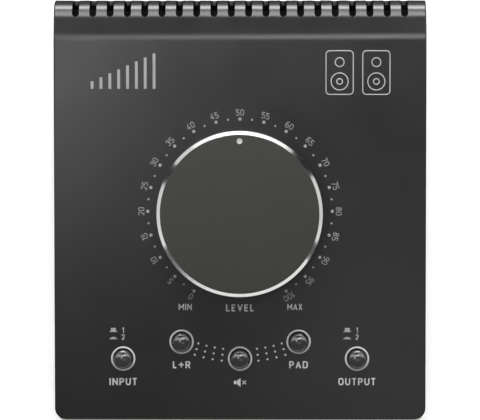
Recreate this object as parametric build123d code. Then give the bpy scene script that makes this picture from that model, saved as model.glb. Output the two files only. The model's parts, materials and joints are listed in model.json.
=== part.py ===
"""A wedge-shaped desktop studio monitor controller, in millimetres.

+Z is up, +Y points to the rear and +X to the right as seen from the front. The origin is on the table,
under the middle of the whole object. Most pieces belong to the sloping panel, so they are placed in its
plane: x to the right, s up the slope from the front edge, n outwards along the panel's normal.
"""

from build123d import *
from math import cos, radians, sin
import os

# ---- Case: one formed steel shell, closed by a base plate and a rear panel ----
CASE_WIDTH = 118.0
PANEL_SLOPE = 12.0  # degrees
PANEL_LENGTH = 119.8  # flat part of the sloping panel
FRONT_EDGE_HEIGHT = 26.0  # table to the lower end of the flat part
EDGE_RADIUS = 0.5  # front, sides and rear corners
CREASE_RADIUS = 14.0
LEDGE_LENGTH = 4.15  # level strip between the crease and the rear roll
ROLL_RADIUS = 7.5
CORNER_RADIUS = 3.6  # front corners, seen from above
SHEET = 1.5
SHELL_GAP = 0.3  # between pieces of the case
PANEL_OVERLAP = 2.4  # rear panel tucked behind the shell's rear wall
PANEL_SINK = 0.2  # play between them

# ---- Vent slots over the rear roll ----
SLOT_COUNT = 20
SLOT_PITCH = 5.48
SLOT_WIDTH = 2.23
SLOT_FRONT_OFFSET = 0.4  # front end of the slots, behind the ledge
SLOT_END_RISE = 0.0  # their rear ends, above the roll's axis

# ---- Feet and screws of the case ----
FOOT_RADIUS = 6.0
FOOT_HEIGHT = 3.0
FOOT_CHAMFER = 0.6
FOOT_INSET_X = 8.0
FOOT_INSET_FRONT = 14.0
FOOT_INSET_REAR = 18.0
FOOT_SCREW_SEAT = 1.3  # rubber between the screw's head and the base plate
SCREW_RADIUS = 1.5
SCREW_HEAD_RADIUS = 2.75
SCREW_HEAD_HEIGHT = 1.2
SCREW_PLAY = 0.1
SCREW_REACH = 2.0  # thread past the last sheet
DRIVE_ACROSS_FLATS = 2.2
DRIVE_DEPTH = 0.8
LUG_LENGTH = 12.0  # lugs folded in from the shell's sides
LUG_REACH = 9.0
LUG_INSET_FRONT = 30.0
LUG_INSET_REAR = 44.0
TAB_HEIGHT = 8.5  # tabs folded up from the base plate, between the sockets
TAB_CLEARANCE = 1.1  # beside each tab
TAB_SCREW_HEIGHT = 4.5

# ---- Dial and potentiometer ----
DIAL_S = 65.9  # dial centre, up the slope
POT_SIDE = 24.0
POT_DEPTH = 14.0
POT_WALL = 1.5
BUSHING_RADIUS = 4.5
BUSHING_HEIGHT = 6.5  # above the panel
SHAFT_RADIUS = 3.0
RUNNING_PLAY = 0.05
SHAFT_GRIP = 7.0  # length of shaft inside the knob's hub
WIPER_RADIUS = 9.0
WIPER_THICKNESS = 1.5
TRACK_THICKNESS = 1.0
MOVING_GAP = 0.3
WASHER_RADIUS = 6.5
WASHER_THICKNESS = 0.5
NUT_ACROSS_FLATS = 12.0
NUT_THICKNESS = 2.2

# ---- Volume knob ----
KNOB_RADIUS = 25.9
KNOB_TOP = 16.6  # above the panel
KNOB_CLEARANCE = 1.3  # skirt above the panel
KNOB_CHAMFER = 1.07
KNOB_WALL = 3.4
KNOB_FACE_THICKNESS = 4.0
HUB_RADIUS = 7.0
HUB_GAP = 0.5  # hub above the bushing
INDEX_RADIUS = 0.92
INDEX_DEPTH = 0.3
INDEX_DISTANCE = 22.8
SET_SCREW_RADIUS = 1.5
SET_SCREW_HEIGHT = 9.9  # above the panel
KEY_DEPTH = 1.2
KEY_ACROSS_FLATS = 1.5

# ---- Push buttons, from left to right, each with its distance in front of the dial ----
BUTTON_INSET_X = 21.84  # outer buttons, from the case's side
NEAR_ROW = 41.5
FAR_ROW = 46.9
BUTTONS = {
    "source": FAR_ROW,
    "mono": NEAR_ROW,
    "mute": FAR_ROW,
    "dim": NEAR_ROW,
    "monitor": FAR_ROW,
}
CAP_RADIUS = 2.9
CAP_TOP = 3.9  # above the panel
CAP_CROWN = 0.3  # rise of its top
CAP_EDGE = 0.5
CAP_SKIRT = 4.6  # below the panel's outer face
CAP_SOCKET = 0.5  # plunger's end above the panel
CAP_PLAY = 0.3
TRAVEL = 3.0
STEM_SIDE = 3.0
FLANGE_SIDE = 5.4
FLANGE_THICKNESS = 1.0
SWITCH_SIDE = 8.5
SWITCH_WALL = 0.8
SPRING_RADIUS = 1.7
SPRING_WIRE = 0.15
SPRING_TURNS = 4.0

# ---- Control board under the panel ----
BOARD_THICKNESS = 1.6
BOARD_FRONT_S = 8.0
BOARD_REAR_INSET = 31.8  # rear edge, before the panel's rear end
BOARD_INSET_X = 6.0
STANDOFF_INSET_X = 4.5
STANDOFF_INSET_S = 6.0
STANDOFF_ACROSS_FLATS = 5.0
STUD_LENGTH = 5.0
RESISTOR_RADIUS = 1.2
RESISTOR_LENGTH = 6.4
RESISTOR_LEAD = 0.3
RESISTOR_RISE = 1.6  # axis above the board
RESISTOR_PITCH = 4.0
RESISTORS = 5

# ---- Sockets, 6.35 mm, in the rear panel ----
JACK_COLUMNS = ("source_a", "source_b", "monitor_a", "monitor_b")
JACK_ROWS = ("right", "left")  # from below
JACK_INSET_X = 20.0  # outer columns, from the case's side
JACK_ROW_HEIGHT = 11.7
JACK_PITCH_Z = 15.8
JACK_TO_WALL = 7.0  # shell's rear wall starts this far above the upper sockets' axis
JACK_WIDTH = 15.8
JACK_HEIGHT = 13.6
JACK_DEPTH = 27.0
JACK_BACK_WALL = 2.0
JACK_NOSE_RADIUS = 4.5
JACK_NOSE_TIP = 0.5  # past the nut
JACK_NOSE_CHAMFER = 0.4
JACK_BORE_RADIUS = 3.25
JACK_WASHER_THICKNESS = 0.4
JACK_WASHER_RADIUS = 5.9
CONTACT_WIDTH = 2.4
CONTACT_THICKNESS = 0.4
CONTACT_LENGTH = 14.0
CONTACT_WALL = 0.6  # insulation between the bore and a contact
JACK_BOARD_INSET_X = 7.5
JACK_BOARD_RISE = 1.0

# ---- Flat cable between the boards ----
CABLE_WIDTH = 16.0
CABLE_THICKNESS = 0.3
CABLE_BEND = 4.0
CONNECTOR_WIDTH = 20.0
CONNECTOR_HEIGHT = 3.0
CONNECTOR_LENGTH = 6.0
CONNECTOR_SETBACK = 3.0  # from the control board's rear edge
CABLE_DROP = 6.85  # top of the lower connector, below the cable's corner

# ---- Worked out from the above ----
SLOPE_SIN = sin(radians(PANEL_SLOPE))
SLOPE_COS = cos(radians(PANEL_SLOPE))
JACK_PROUD = (
    JACK_WASHER_THICKNESS + NUT_THICKNESS + JACK_NOSE_TIP - SHEET - PANEL_SINK
)
CASE_DEPTH = (
    EDGE_RADIUS * (1 - SLOPE_SIN)
    + PANEL_LENGTH * SLOPE_COS
    + CREASE_RADIUS * SLOPE_SIN
    + LEDGE_LENGTH
    + ROLL_RADIUS
)
FRONT_Y = -(CASE_DEPTH + JACK_PROUD) / 2
REAR_Y = FRONT_Y + CASE_DEPTH
ROLL_START_Y = REAR_Y - ROLL_RADIUS
CASE_BOTTOM = FOOT_HEIGHT
BASE_TOP = CASE_BOTTOM + SHEET
PANEL_START_Y = FRONT_Y + EDGE_RADIUS * (1 - SLOPE_SIN)
LEDGE_HEIGHT = (
    FRONT_EDGE_HEIGHT + PANEL_LENGTH * SLOPE_SIN + CREASE_RADIUS * (1 - SLOPE_COS)
)
ROLL_CENTRE_Z = LEDGE_HEIGHT - ROLL_RADIUS
SLOT_END_Z = ROLL_CENTRE_Z + SLOT_END_RISE
REAR_WALL_BOTTOM = (
    JACK_ROW_HEIGHT + (len(JACK_ROWS) - 1) * JACK_PITCH_Z + JACK_TO_WALL
)
INNER_HALF_WIDTH = CASE_WIDTH / 2 - SHEET
PLATE_HALF_WIDTH = INNER_HALF_WIDTH - SHELL_GAP
BOARD_REAR_S = PANEL_LENGTH - BOARD_REAR_INSET
BUTTON_PITCH = (CASE_WIDTH - 2 * BUTTON_INSET_X) / (len(BUTTONS) - 1)
OUTER_JACK_X = CASE_WIDTH / 2 - JACK_INSET_X
JACK_PITCH_X = 2 * OUTER_JACK_X / (len(JACK_COLUMNS) - 1)
PANEL_OUTER_Y = REAR_Y - SHEET - PANEL_SINK
PANEL_INNER_Y = PANEL_OUTER_Y - SHEET
BOARD_TOP_N = -SHEET - POT_DEPTH
BOARD_BOTTOM_N = BOARD_TOP_N - BOARD_THICKNESS
HUB_BOTTOM_N = BUSHING_HEIGHT + HUB_GAP
CAVITY_TOP_N = KNOB_TOP - KNOB_FACE_THICKNESS
SWITCH_TOP_N = -CAP_SKIRT - TRAVEL - 2 * MOVING_GAP
FLANGE_TOP_N = SWITCH_TOP_N - SWITCH_WALL - MOVING_GAP
JACK_BOARD_FRONT_Y = PANEL_INNER_Y - JACK_DEPTH - BOARD_THICKNESS
JACK_BOARD_TOP = BASE_TOP + JACK_BOARD_RISE + JACK_ROW_HEIGHT + JACK_PITCH_Z

PANEL = Plane(
    origin=(0, PANEL_START_Y, FRONT_EDGE_HEIGHT),
    x_dir=(1, 0, 0),
    z_dir=(0, -SLOPE_SIN, SLOPE_COS),
)
REARWARD = Plane(origin=(0, 0, 0), x_dir=(-1, 0, 0), z_dir=(0, 1, 0))
UP = (Align.CENTER, Align.CENTER, Align.MIN)


# ---- Helpers ----
def on_panel(x, s, n, shape):
    """Set a shape, drawn standing on the origin, on the sloping panel."""
    return PANEL * Pos(x, s, n) * shape


def on_rear(x, z, y, shape):
    """Set a shape, drawn standing on the origin, on a plane that faces the rear."""
    return REARWARD * Pos(-x, z, y) * shape


def rod(radius, height):
    return Cylinder(radius, height, align=UP)


def tube(outer, inner, height):
    return rod(outer, height) - rod(inner, height)


def block(width, length, height):
    return Box(width, length, height, align=UP)


def hexagon(across_flats, height):
    """A hexagonal bar with two flats across the second axis."""
    return extrude(RegularPolygon(across_flats / 2, 6, major_radius=False), height)


def span(low, high):
    """An axis-aligned block between two corners."""
    size = [h - l for l, h in zip(low, high)]
    return Pos(*low) * Box(*size, align=(Align.MIN, Align.MIN, Align.MIN))


def hex_nut(bore, across_flats, height):
    return hexagon(across_flats, height) - rod(bore, height)


def pan_screw(length):
    """A screw standing head down: the head's seat is at 0 and the thread points up."""
    head = Pos(0, 0, -SCREW_HEAD_HEIGHT) * rod(SCREW_HEAD_RADIUS, SCREW_HEAD_HEIGHT)
    head = fillet(head.edges().group_by(Axis.Z)[0], SCREW_HEAD_HEIGHT / 2)
    drive = Pos(0, 0, -SCREW_HEAD_HEIGHT) * hexagon(DRIVE_ACROSS_FLATS, DRIVE_DEPTH)
    return head + rod(SCREW_RADIUS, length) - drive


def both_sides(x):
    return (-x, x)


# ---- Case ----
def case_outline(inset, bottom):
    """The case seen from the side, drawn inset by a sheet's thickness, down to a height."""
    slope = Vector(SLOPE_COS, SLOPE_SIN)
    normal = Vector(-SLOPE_SIN, SLOPE_COS)
    start = Vector(PANEL_START_Y, FRONT_EDGE_HEIGHT)
    end = start + slope * PANEL_LENGTH
    edge_centre = start - normal * EDGE_RADIUS
    crease_centre = end - normal * CREASE_RADIUS
    roll_centre = Vector(ROLL_START_Y, ROLL_CENTRE_Z)
    crease = CREASE_RADIUS - inset
    roll = ROLL_RADIUS - inset
    half_turn = radians(90 - PANEL_SLOPE) / 2
    edge_reach = (EDGE_RADIUS - inset) / cos(half_turn)
    front = edge_centre + Vector(-cos(half_turn), sin(half_turn)) * edge_reach
    panel_end = crease_centre + normal * crease
    ledge_start = crease_centre + Vector(0, crease)
    half_crease = radians(PANEL_SLOPE) / 2
    crease_middle = crease_centre + Vector(-sin(half_crease), cos(half_crease)) * crease
    ledge_end = roll_centre + Vector(0, roll)
    roll_middle = roll_centre + Vector(sin(radians(45)), cos(radians(45))) * roll
    rear = roll_centre + Vector(roll, 0)
    lines = [
        Line((front.X, bottom), front),
        Line(front, panel_end),
        ThreePointArc(panel_end, crease_middle, ledge_start),
        Line(ledge_start, ledge_end),
        ThreePointArc(ledge_end, roll_middle, rear),
        Line(rear, (rear.X, bottom)),
        Line((rear.X, bottom), (front.X, bottom)),
    ]
    return Plane.YZ * make_face(Curve(lines).edges())


def case_body(inset, bottom):
    """The case as a solid: its side outline, cut to a plan with round front corners."""
    half = CASE_WIDTH / 2 - inset
    corner = CORNER_RADIUS - inset
    swept = extrude(case_outline(inset, bottom), half + SHEET, both=True)
    plan = span(
        (-half, FRONT_Y + inset, bottom - SHEET),
        (half, REAR_Y + SHEET, LEDGE_HEIGHT + SHEET),
    )
    upright = plan.edges().filter_by(Axis.Z)
    plan = fillet(upright.group_by(Axis.Y)[0], corner)
    return swept & plan


def slot_cutters():
    """One cutter per vent slot, round at both ends: in from above and from the rear."""
    half = SLOT_WIDTH / 2
    front = ROLL_START_Y + SLOT_FRONT_OFFSET + half
    low = SLOT_END_Z + half
    over = span((-half, front, low), (half, REAR_Y + SHEET, LEDGE_HEIGHT + SHEET))
    front_round = Pos(0, front, low) * rod(half, LEDGE_HEIGHT + SHEET - low)
    low_round = on_rear(0, low, front, rod(half, REAR_Y + SHEET - front))
    cutter = over + front_round + low_round
    first = -(SLOT_COUNT - 1) / 2 * SLOT_PITCH
    return [Pos(first + i * SLOT_PITCH, 0, 0) * cutter for i in range(SLOT_COUNT)]


def lug_places():
    x = INNER_HALF_WIDTH - LUG_REACH / 2
    for y in (FRONT_Y + LUG_INSET_FRONT, REAR_Y - LUG_INSET_REAR):
        for side in both_sides(x):
            yield side, y


def standoff_places():
    x = CASE_WIDTH / 2 - BOARD_INSET_X - STANDOFF_INSET_X
    for s in (BOARD_FRONT_S + STANDOFF_INSET_S, BOARD_REAR_S - STANDOFF_INSET_S):
        for side in both_sides(x):
            yield side, s


def button_place(name):
    column = list(BUTTONS).index(name) - (len(BUTTONS) - 1) / 2
    return column * BUTTON_PITCH, DIAL_S - BUTTONS[name]


def top_cover():
    """The shell: a short front, the panel, the ledge, the rear roll and both sides."""
    outside = case_body(0, CASE_BOTTOM)
    rear_edges = outside.edges().filter_by(Axis.Z).group_by(Axis.Y)[-1]
    outside = fillet(rear_edges, EDGE_RADIUS)  # runs on along the sides and the front
    shell = outside - case_body(SHEET, CASE_BOTTOM - SHEET)
    window = span(
        (-INNER_HALF_WIDTH, REAR_Y - 2 * SHEET, CASE_BOTTOM - SHEET),
        (INNER_HALF_WIDTH, REAR_Y + SHEET, REAR_WALL_BOTTOM),
    )
    shell -= window
    bushing_hole = rod(BUSHING_RADIUS + SCREW_PLAY, 3 * SHEET)
    holes = [on_panel(0, DIAL_S, -2 * SHEET, bushing_hole)]
    for name in BUTTONS:
        x, s = button_place(name)
        holes.append(on_panel(x, s, -2 * SHEET, rod(CAP_RADIUS + CAP_PLAY, 3 * SHEET)))
    shell = shell - holes - slot_cutters()
    for x, y in lug_places():
        shell += Pos(x, y, BASE_TOP) * block(LUG_REACH, LUG_LENGTH, SHEET)
        shell -= Pos(x, y, BASE_TOP) * rod(SCREW_RADIUS + SCREW_PLAY, SHEET)
    for x, s in standoff_places():
        shell += on_panel(x, s, -SHEET - STUD_LENGTH, rod(SCREW_RADIUS, STUD_LENGTH))
    return shell


def foot_places():
    x = CASE_WIDTH / 2 - FOOT_INSET_X
    return {
        "front_left_foot": (-x, FRONT_Y + FOOT_INSET_FRONT),
        "front_right_foot": (x, FRONT_Y + FOOT_INSET_FRONT),
        "rear_left_foot": (-x, REAR_Y - FOOT_INSET_REAR),
        "rear_right_foot": (x, REAR_Y - FOOT_INSET_REAR),
    }


def tab_places():
    """Each tab's middle and width, in the gaps between and outside the sockets."""
    inner_gap = JACK_PITCH_X - JACK_WIDTH
    jack_side = OUTER_JACK_X + JACK_WIDTH / 2
    outer_gap = PLATE_HALF_WIDTH - jack_side
    yield 0, inner_gap - 2 * TAB_CLEARANCE
    for side in both_sides((jack_side + PLATE_HALF_WIDTH) / 2):
        yield side, outer_gap - 2 * TAB_CLEARANCE


def base_plate():
    """Flat plate inside the shell's lower edge, with three tabs for the rear panel."""
    front = FRONT_Y + SHEET + SHELL_GAP
    plate = span(
        (-PLATE_HALF_WIDTH, front, CASE_BOTTOM), (PLATE_HALF_WIDTH, PANEL_OUTER_Y, BASE_TOP)
    )
    front_corners = plate.edges().filter_by(Axis.Z).group_by(Axis.Y)[0]
    plate = fillet(front_corners, CORNER_RADIUS - SHEET - SHELL_GAP)
    for x, width in tab_places():
        plate += Pos(x, PANEL_INNER_Y - SHEET / 2, BASE_TOP) * block(
            width, SHEET, TAB_HEIGHT
        )
    hole = rod(SCREW_RADIUS + SCREW_PLAY, SHEET)
    for x, y in [*lug_places(), *foot_places().values()]:
        plate -= Pos(x, y, CASE_BOTTOM) * hole
    for x, _ in tab_places():
        plate -= on_rear(x, BASE_TOP + TAB_SCREW_HEIGHT, PANEL_INNER_Y - SHEET, hole)
    return plate


def jack_places():
    for i, column in enumerate(JACK_COLUMNS):
        for row, side in enumerate(JACK_ROWS):
            x = OUTER_JACK_X - i * JACK_PITCH_X
            yield f"{column}_{side}_jack", x, JACK_ROW_HEIGHT + row * JACK_PITCH_Z


def rear_panel():
    """Flat plate that stands on the base plate and carries the sockets."""
    plate = span(
        (-PLATE_HALF_WIDTH, PANEL_INNER_Y, BASE_TOP),
        (PLATE_HALF_WIDTH, PANEL_OUTER_Y, REAR_WALL_BOTTOM + PANEL_OVERLAP),
    )
    nose_hole = rod(JACK_NOSE_RADIUS + SCREW_PLAY, SHEET)
    for _, x, z in jack_places():
        plate -= on_rear(x, z, PANEL_INNER_Y, nose_hole)
    screw_hole = rod(SCREW_RADIUS + SCREW_PLAY, SHEET)
    for x, _ in tab_places():
        plate -= on_rear(x, BASE_TOP + TAB_SCREW_HEIGHT, PANEL_INNER_Y, screw_hole)
    return plate


def foot(x, y):
    """Round rubber foot with a pocket for its screw's head."""
    body = rod(FOOT_RADIUS, FOOT_HEIGHT)
    body = chamfer(body.edges().group_by(Axis.Z)[0], FOOT_CHAMFER)
    pocket_depth = FOOT_HEIGHT - FOOT_SCREW_SEAT
    pocket = rod(SCREW_HEAD_RADIUS + SHELL_GAP, pocket_depth)
    body -= pocket
    body -= rod(SCREW_RADIUS + SCREW_PLAY, FOOT_HEIGHT)
    return Pos(x, y, 0) * body


def foot_screws():
    seat = FOOT_HEIGHT - FOOT_SCREW_SEAT
    screw = pan_screw(FOOT_SCREW_SEAT + SHEET + SCREW_REACH)
    return [Pos(x, y, seat) * screw for x, y in foot_places().values()]


def base_screws():
    screw = pan_screw(2 * SHEET + SCREW_REACH)
    return [Pos(x, y, CASE_BOTTOM) * screw for x, y in lug_places()]


def rear_panel_screws():
    """Screws from the rear, so each is turned to point into the case."""
    screw = Rot(180, 0, 0) * pan_screw(2 * SHEET + SCREW_REACH)
    height = BASE_TOP + TAB_SCREW_HEIGHT
    return [on_rear(x, height, PANEL_OUTER_Y, screw) for x, _ in tab_places()]


# ---- Potentiometer ----
def pot_housing():
    """Square can under the panel, hollow for two wipers and two tracks."""
    body = block(POT_SIDE, POT_SIDE, POT_DEPTH)
    cavity_radius = POT_SIDE / 2 - POT_WALL
    body -= Pos(0, 0, POT_WALL) * rod(cavity_radius, POT_DEPTH - 2 * POT_WALL)
    body -= Pos(0, 0, POT_WALL) * rod(SHAFT_RADIUS + RUNNING_PLAY, POT_DEPTH)
    return on_panel(0, DIAL_S, BOARD_TOP_N, body)


def pot_bushing():
    """Threaded sleeve that holds the potentiometer in the panel."""
    sleeve = tube(BUSHING_RADIUS, SHAFT_RADIUS + RUNNING_PLAY, SHEET + BUSHING_HEIGHT)
    return on_panel(0, DIAL_S, -SHEET, sleeve)


def wiper_levels():
    """Height of each wiper, and of the track under it, from the can's floor."""
    room = POT_DEPTH - 2 * POT_WALL
    for half in (0, 1):
        track = POT_WALL + half * room / 2
        yield track, track + TRACK_THICKNESS + MOVING_GAP


def pot_wipers():
    wiper = tube(WIPER_RADIUS, SHAFT_RADIUS, WIPER_THICKNESS)
    return [
        on_panel(0, DIAL_S, BOARD_TOP_N + level, wiper) for _, level in wiper_levels()
    ]


def pot_tracks():
    outer = POT_SIDE / 2 - POT_WALL
    track = tube(outer, SHAFT_RADIUS + MOVING_GAP, TRACK_THICKNESS)
    return [
        on_panel(0, DIAL_S, BOARD_TOP_N + level, track) for level, _ in wiper_levels()
    ]


def pot_shaft():
    bottom = BOARD_TOP_N + POT_WALL + MOVING_GAP
    top = HUB_BOTTOM_N + SHAFT_GRIP
    return on_panel(0, DIAL_S, bottom, rod(SHAFT_RADIUS, top - bottom))


def pot_washer():
    washer = tube(WASHER_RADIUS, BUSHING_RADIUS + SCREW_PLAY, WASHER_THICKNESS)
    return on_panel(0, DIAL_S, 0, washer)


def pot_nut():
    nut = hex_nut(BUSHING_RADIUS, NUT_ACROSS_FLATS, NUT_THICKNESS)
    return on_panel(0, DIAL_S, WASHER_THICKNESS, nut)


# ---- Volume knob ----
def knob():
    """Turned cup with a hub, a bright chamfer, an index pocket and a key hole."""
    height = KNOB_TOP - KNOB_CLEARANCE
    body = rod(KNOB_RADIUS, height)
    body = chamfer(body.edges().group_by(Axis.Z)[-1], KNOB_CHAMFER)
    cavity = CAVITY_TOP_N - KNOB_CLEARANCE
    body -= rod(KNOB_RADIUS - KNOB_WALL, cavity)
    hub_bottom = HUB_BOTTOM_N - KNOB_CLEARANCE
    body += Pos(0, 0, hub_bottom) * rod(HUB_RADIUS, cavity - hub_bottom)
    body -= Pos(0, 0, hub_bottom) * rod(SHAFT_RADIUS, SHAFT_GRIP)
    body -= Pos(0, INDEX_DISTANCE, height - INDEX_DEPTH) * rod(INDEX_RADIUS, INDEX_DEPTH)
    key_hole = Rot(-90, 0, 0) * rod(SET_SCREW_RADIUS, KNOB_RADIUS)
    body -= Pos(0, 0, SET_SCREW_HEIGHT - KNOB_CLEARANCE) * key_hole
    return on_panel(0, DIAL_S, KNOB_CLEARANCE, body)


def knob_index():
    disc = rod(INDEX_RADIUS, INDEX_DEPTH)
    return on_panel(0, DIAL_S + INDEX_DISTANCE, KNOB_TOP - INDEX_DEPTH, disc)


def knob_set_screw():
    """Grub screw in the hub, tight against the shaft."""
    length = HUB_RADIUS - SHAFT_RADIUS
    screw = rod(SET_SCREW_RADIUS, length)
    screw -= Pos(0, 0, length - KEY_DEPTH) * hexagon(KEY_ACROSS_FLATS, KEY_DEPTH)
    turned = Rot(-90, 0, 0) * Pos(0, 0, SHAFT_RADIUS) * screw
    return on_panel(0, DIAL_S, SET_SCREW_HEIGHT, turned)


# ---- Push buttons ----
def button_cap(x, s):
    """Round cap with a low crown, hollow below for the plunger's stem."""
    height = CAP_SKIRT + CAP_TOP
    flat, shoulder = CAP_RADIUS - CAP_EDGE, height - CAP_CROWN
    half = [
        Line((0, 0), (CAP_RADIUS, 0)),
        Line((CAP_RADIUS, 0), (CAP_RADIUS, shoulder - CAP_EDGE)),
        CenterArc((flat, shoulder - CAP_EDGE), CAP_EDGE, 0, 90),
        TangentArc((0, height), (flat, shoulder), tangent=(1, 0)),
        Line((0, height), (0, 0)),
    ]
    body = revolve(Plane.XZ * make_face(Curve(half).edges()), axis=Axis.Z)
    body -= block(STEM_SIDE, STEM_SIDE, CAP_SKIRT + CAP_SOCKET)
    return on_panel(x, s, -CAP_SKIRT, body)


def button_plunger(x, s):
    """Square stem from the cap into the switch, with a flange that the spring lifts."""
    bottom = FLANGE_TOP_N - FLANGE_THICKNESS
    stem = block(STEM_SIDE, STEM_SIDE, CAP_SOCKET - bottom)
    stem += block(FLANGE_SIDE, FLANGE_SIDE, FLANGE_THICKNESS)
    return on_panel(x, s, bottom, stem)


def switch_housing(x, s):
    """Square box on the board, open at the top for the stem."""
    height = SWITCH_TOP_N - BOARD_TOP_N
    body = block(SWITCH_SIDE, SWITCH_SIDE, height)
    room = SWITCH_SIDE - 2 * SWITCH_WALL
    body -= Pos(0, 0, SWITCH_WALL) * block(room, room, height - 2 * SWITCH_WALL)
    opening = STEM_SIDE + 2 * MOVING_GAP
    body -= Pos(0, 0, SWITCH_WALL) * block(opening, opening, height)
    return on_panel(x, s, BOARD_TOP_N, body)


def return_spring(x, s):
    """Coil spring between the switch's floor and the plunger's flange."""
    floor = BOARD_TOP_N + SWITCH_WALL
    height = FLANGE_TOP_N - FLANGE_THICKNESS - floor - 2 * SPRING_WIRE
    path = Helix(pitch=height / SPRING_TURNS, height=height, radius=SPRING_RADIUS)
    section = Plane(origin=path @ 0, z_dir=path % 0) * Circle(SPRING_WIRE)
    coil = sweep(section, path=path)
    return on_panel(x, s, floor + SPRING_WIRE, coil)


# ---- Control board ----
def control_board():
    """Board that carries the potentiometer and the five switches."""
    width = CASE_WIDTH - 2 * BOARD_INSET_X
    length = BOARD_REAR_S - BOARD_FRONT_S
    board = block(width, length, BOARD_THICKNESS)
    board = on_panel(0, (BOARD_FRONT_S + BOARD_REAR_S) / 2, BOARD_BOTTOM_N, board)
    hole = rod(SCREW_RADIUS + SCREW_PLAY, BOARD_THICKNESS)
    for x, s in standoff_places():
        board -= on_panel(x, s, BOARD_BOTTOM_N, hole)
    return board


def board_standoffs():
    height = -SHEET - BOARD_TOP_N
    body = hexagon(STANDOFF_ACROSS_FLATS, height) - rod(SCREW_RADIUS + SCREW_PLAY, height)
    return [on_panel(x, s, BOARD_TOP_N, body) for x, s in standoff_places()]


def board_screws():
    screw = pan_screw(BOARD_THICKNESS + STUD_LENGTH)
    return [on_panel(x, s, BOARD_BOTTOM_N, screw) for x, s in standoff_places()]


def signal_resistors():
    """A row of through-hole resistors behind each pair of inner buttons."""
    body = Rot(90, 0, 0) * Cylinder(RESISTOR_RADIUS, RESISTOR_LENGTH)
    lead_y = RESISTOR_LENGTH / 2 + 2 * RESISTOR_LEAD
    part = Pos(0, 0, RESISTOR_RISE) * body
    part += Pos(0, 0, RESISTOR_RISE) * Rot(90, 0, 0) * Cylinder(RESISTOR_LEAD, 2 * lead_y)
    for y in both_sides(lead_y):
        part += Pos(0, y, 0) * rod(RESISTOR_LEAD, RESISTOR_RISE + RESISTOR_LEAD)
    parts = []
    for side in both_sides(POT_SIDE + RESISTOR_PITCH):
        for i in range(RESISTORS):
            x = side + (i - (RESISTORS - 1) / 2) * RESISTOR_PITCH
            parts.append(on_panel(x, DIAL_S, BOARD_TOP_N, part))
    return parts


# ---- Sockets ----
def jack(x, z):
    """Socket body behind the rear panel, with a threaded nose through it."""
    body = block(JACK_WIDTH, JACK_HEIGHT, JACK_DEPTH)
    nose_length = SHEET + JACK_WASHER_THICKNESS + NUT_THICKNESS + JACK_NOSE_TIP
    nose = rod(JACK_NOSE_RADIUS, nose_length)
    nose = chamfer(nose.edges().group_by(Axis.Z)[-1], JACK_NOSE_CHAMFER)
    body += Pos(0, 0, JACK_DEPTH) * nose
    bore_depth = JACK_DEPTH + nose_length - JACK_BACK_WALL
    body -= Pos(0, 0, JACK_BACK_WALL) * rod(JACK_BORE_RADIUS, bore_depth)
    for side in both_sides(1):
        body -= contact_strip(side)
    return on_rear(x, z, PANEL_INNER_Y - JACK_DEPTH, body)


def contact_strip(side):
    """A spring contact beside the bore, with its tail out at the back."""
    offset = JACK_BORE_RADIUS + CONTACT_WALL + CONTACT_THICKNESS / 2
    strip = block(CONTACT_THICKNESS, CONTACT_WIDTH, JACK_BACK_WALL + CONTACT_LENGTH)
    return Pos(side * offset, 0, 0) * strip


def jack_contacts():
    parts = []
    for _, x, z in jack_places():
        for side in both_sides(1):
            strip = contact_strip(side)
            parts.append(on_rear(x, z, PANEL_INNER_Y - JACK_DEPTH, strip))
    return parts


def jack_washers():
    washer = tube(
        JACK_WASHER_RADIUS, JACK_NOSE_RADIUS + SCREW_PLAY, JACK_WASHER_THICKNESS
    )
    return [on_rear(x, z, PANEL_OUTER_Y, washer) for _, x, z in jack_places()]


def jack_nuts():
    nut = hex_nut(JACK_NOSE_RADIUS, NUT_ACROSS_FLATS, NUT_THICKNESS)
    seat = PANEL_OUTER_Y + JACK_WASHER_THICKNESS
    return [on_rear(x, z, seat, nut) for _, x, z in jack_places()]


def jack_board():
    half = CASE_WIDTH / 2 - JACK_BOARD_INSET_X
    return span(
        (-half, JACK_BOARD_FRONT_Y, BASE_TOP + JACK_BOARD_RISE),
        (half, JACK_BOARD_FRONT_Y + BOARD_THICKNESS, JACK_BOARD_TOP),
    )


# ---- Flat cable ----
def cable_points():
    """Where the cable leaves the upper connector, turns down and enters the lower one."""
    exit_s = BOARD_REAR_S - CONNECTOR_SETBACK
    exit_n = BOARD_BOTTOM_N - CONNECTOR_HEIGHT / 2
    leave = (PANEL * Pos(0, exit_s, exit_n)).position
    down_y = JACK_BOARD_FRONT_Y - CONNECTOR_HEIGHT / 2
    corner_z = leave.Z + (down_y - leave.Y) * SLOPE_SIN / SLOPE_COS
    return (leave.Y, leave.Z), (down_y, corner_z), (down_y, corner_z - CABLE_DROP)


def flat_cable():
    """Flat cable along the board's underside, then down in one bend to the jack board."""
    route = FilletPolyline(*cable_points(), radius=CABLE_BEND)
    ribbon = Plane.YZ * trace(route, CABLE_THICKNESS)
    return extrude(ribbon, CABLE_WIDTH / 2, both=True)


def control_cable_connector():
    s = BOARD_REAR_S - CONNECTOR_SETBACK - CONNECTOR_LENGTH / 2
    body = block(CONNECTOR_WIDTH, CONNECTOR_LENGTH, CONNECTOR_HEIGHT)
    return on_panel(0, s, BOARD_BOTTOM_N - CONNECTOR_HEIGHT, body)


def jack_cable_connector():
    top = cable_points()[-1][1]
    half = CONNECTOR_WIDTH / 2
    return span(
        (-half, JACK_BOARD_FRONT_Y - CONNECTOR_HEIGHT, top - CONNECTOR_LENGTH),
        (half, JACK_BOARD_FRONT_Y, top),
    )


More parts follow.
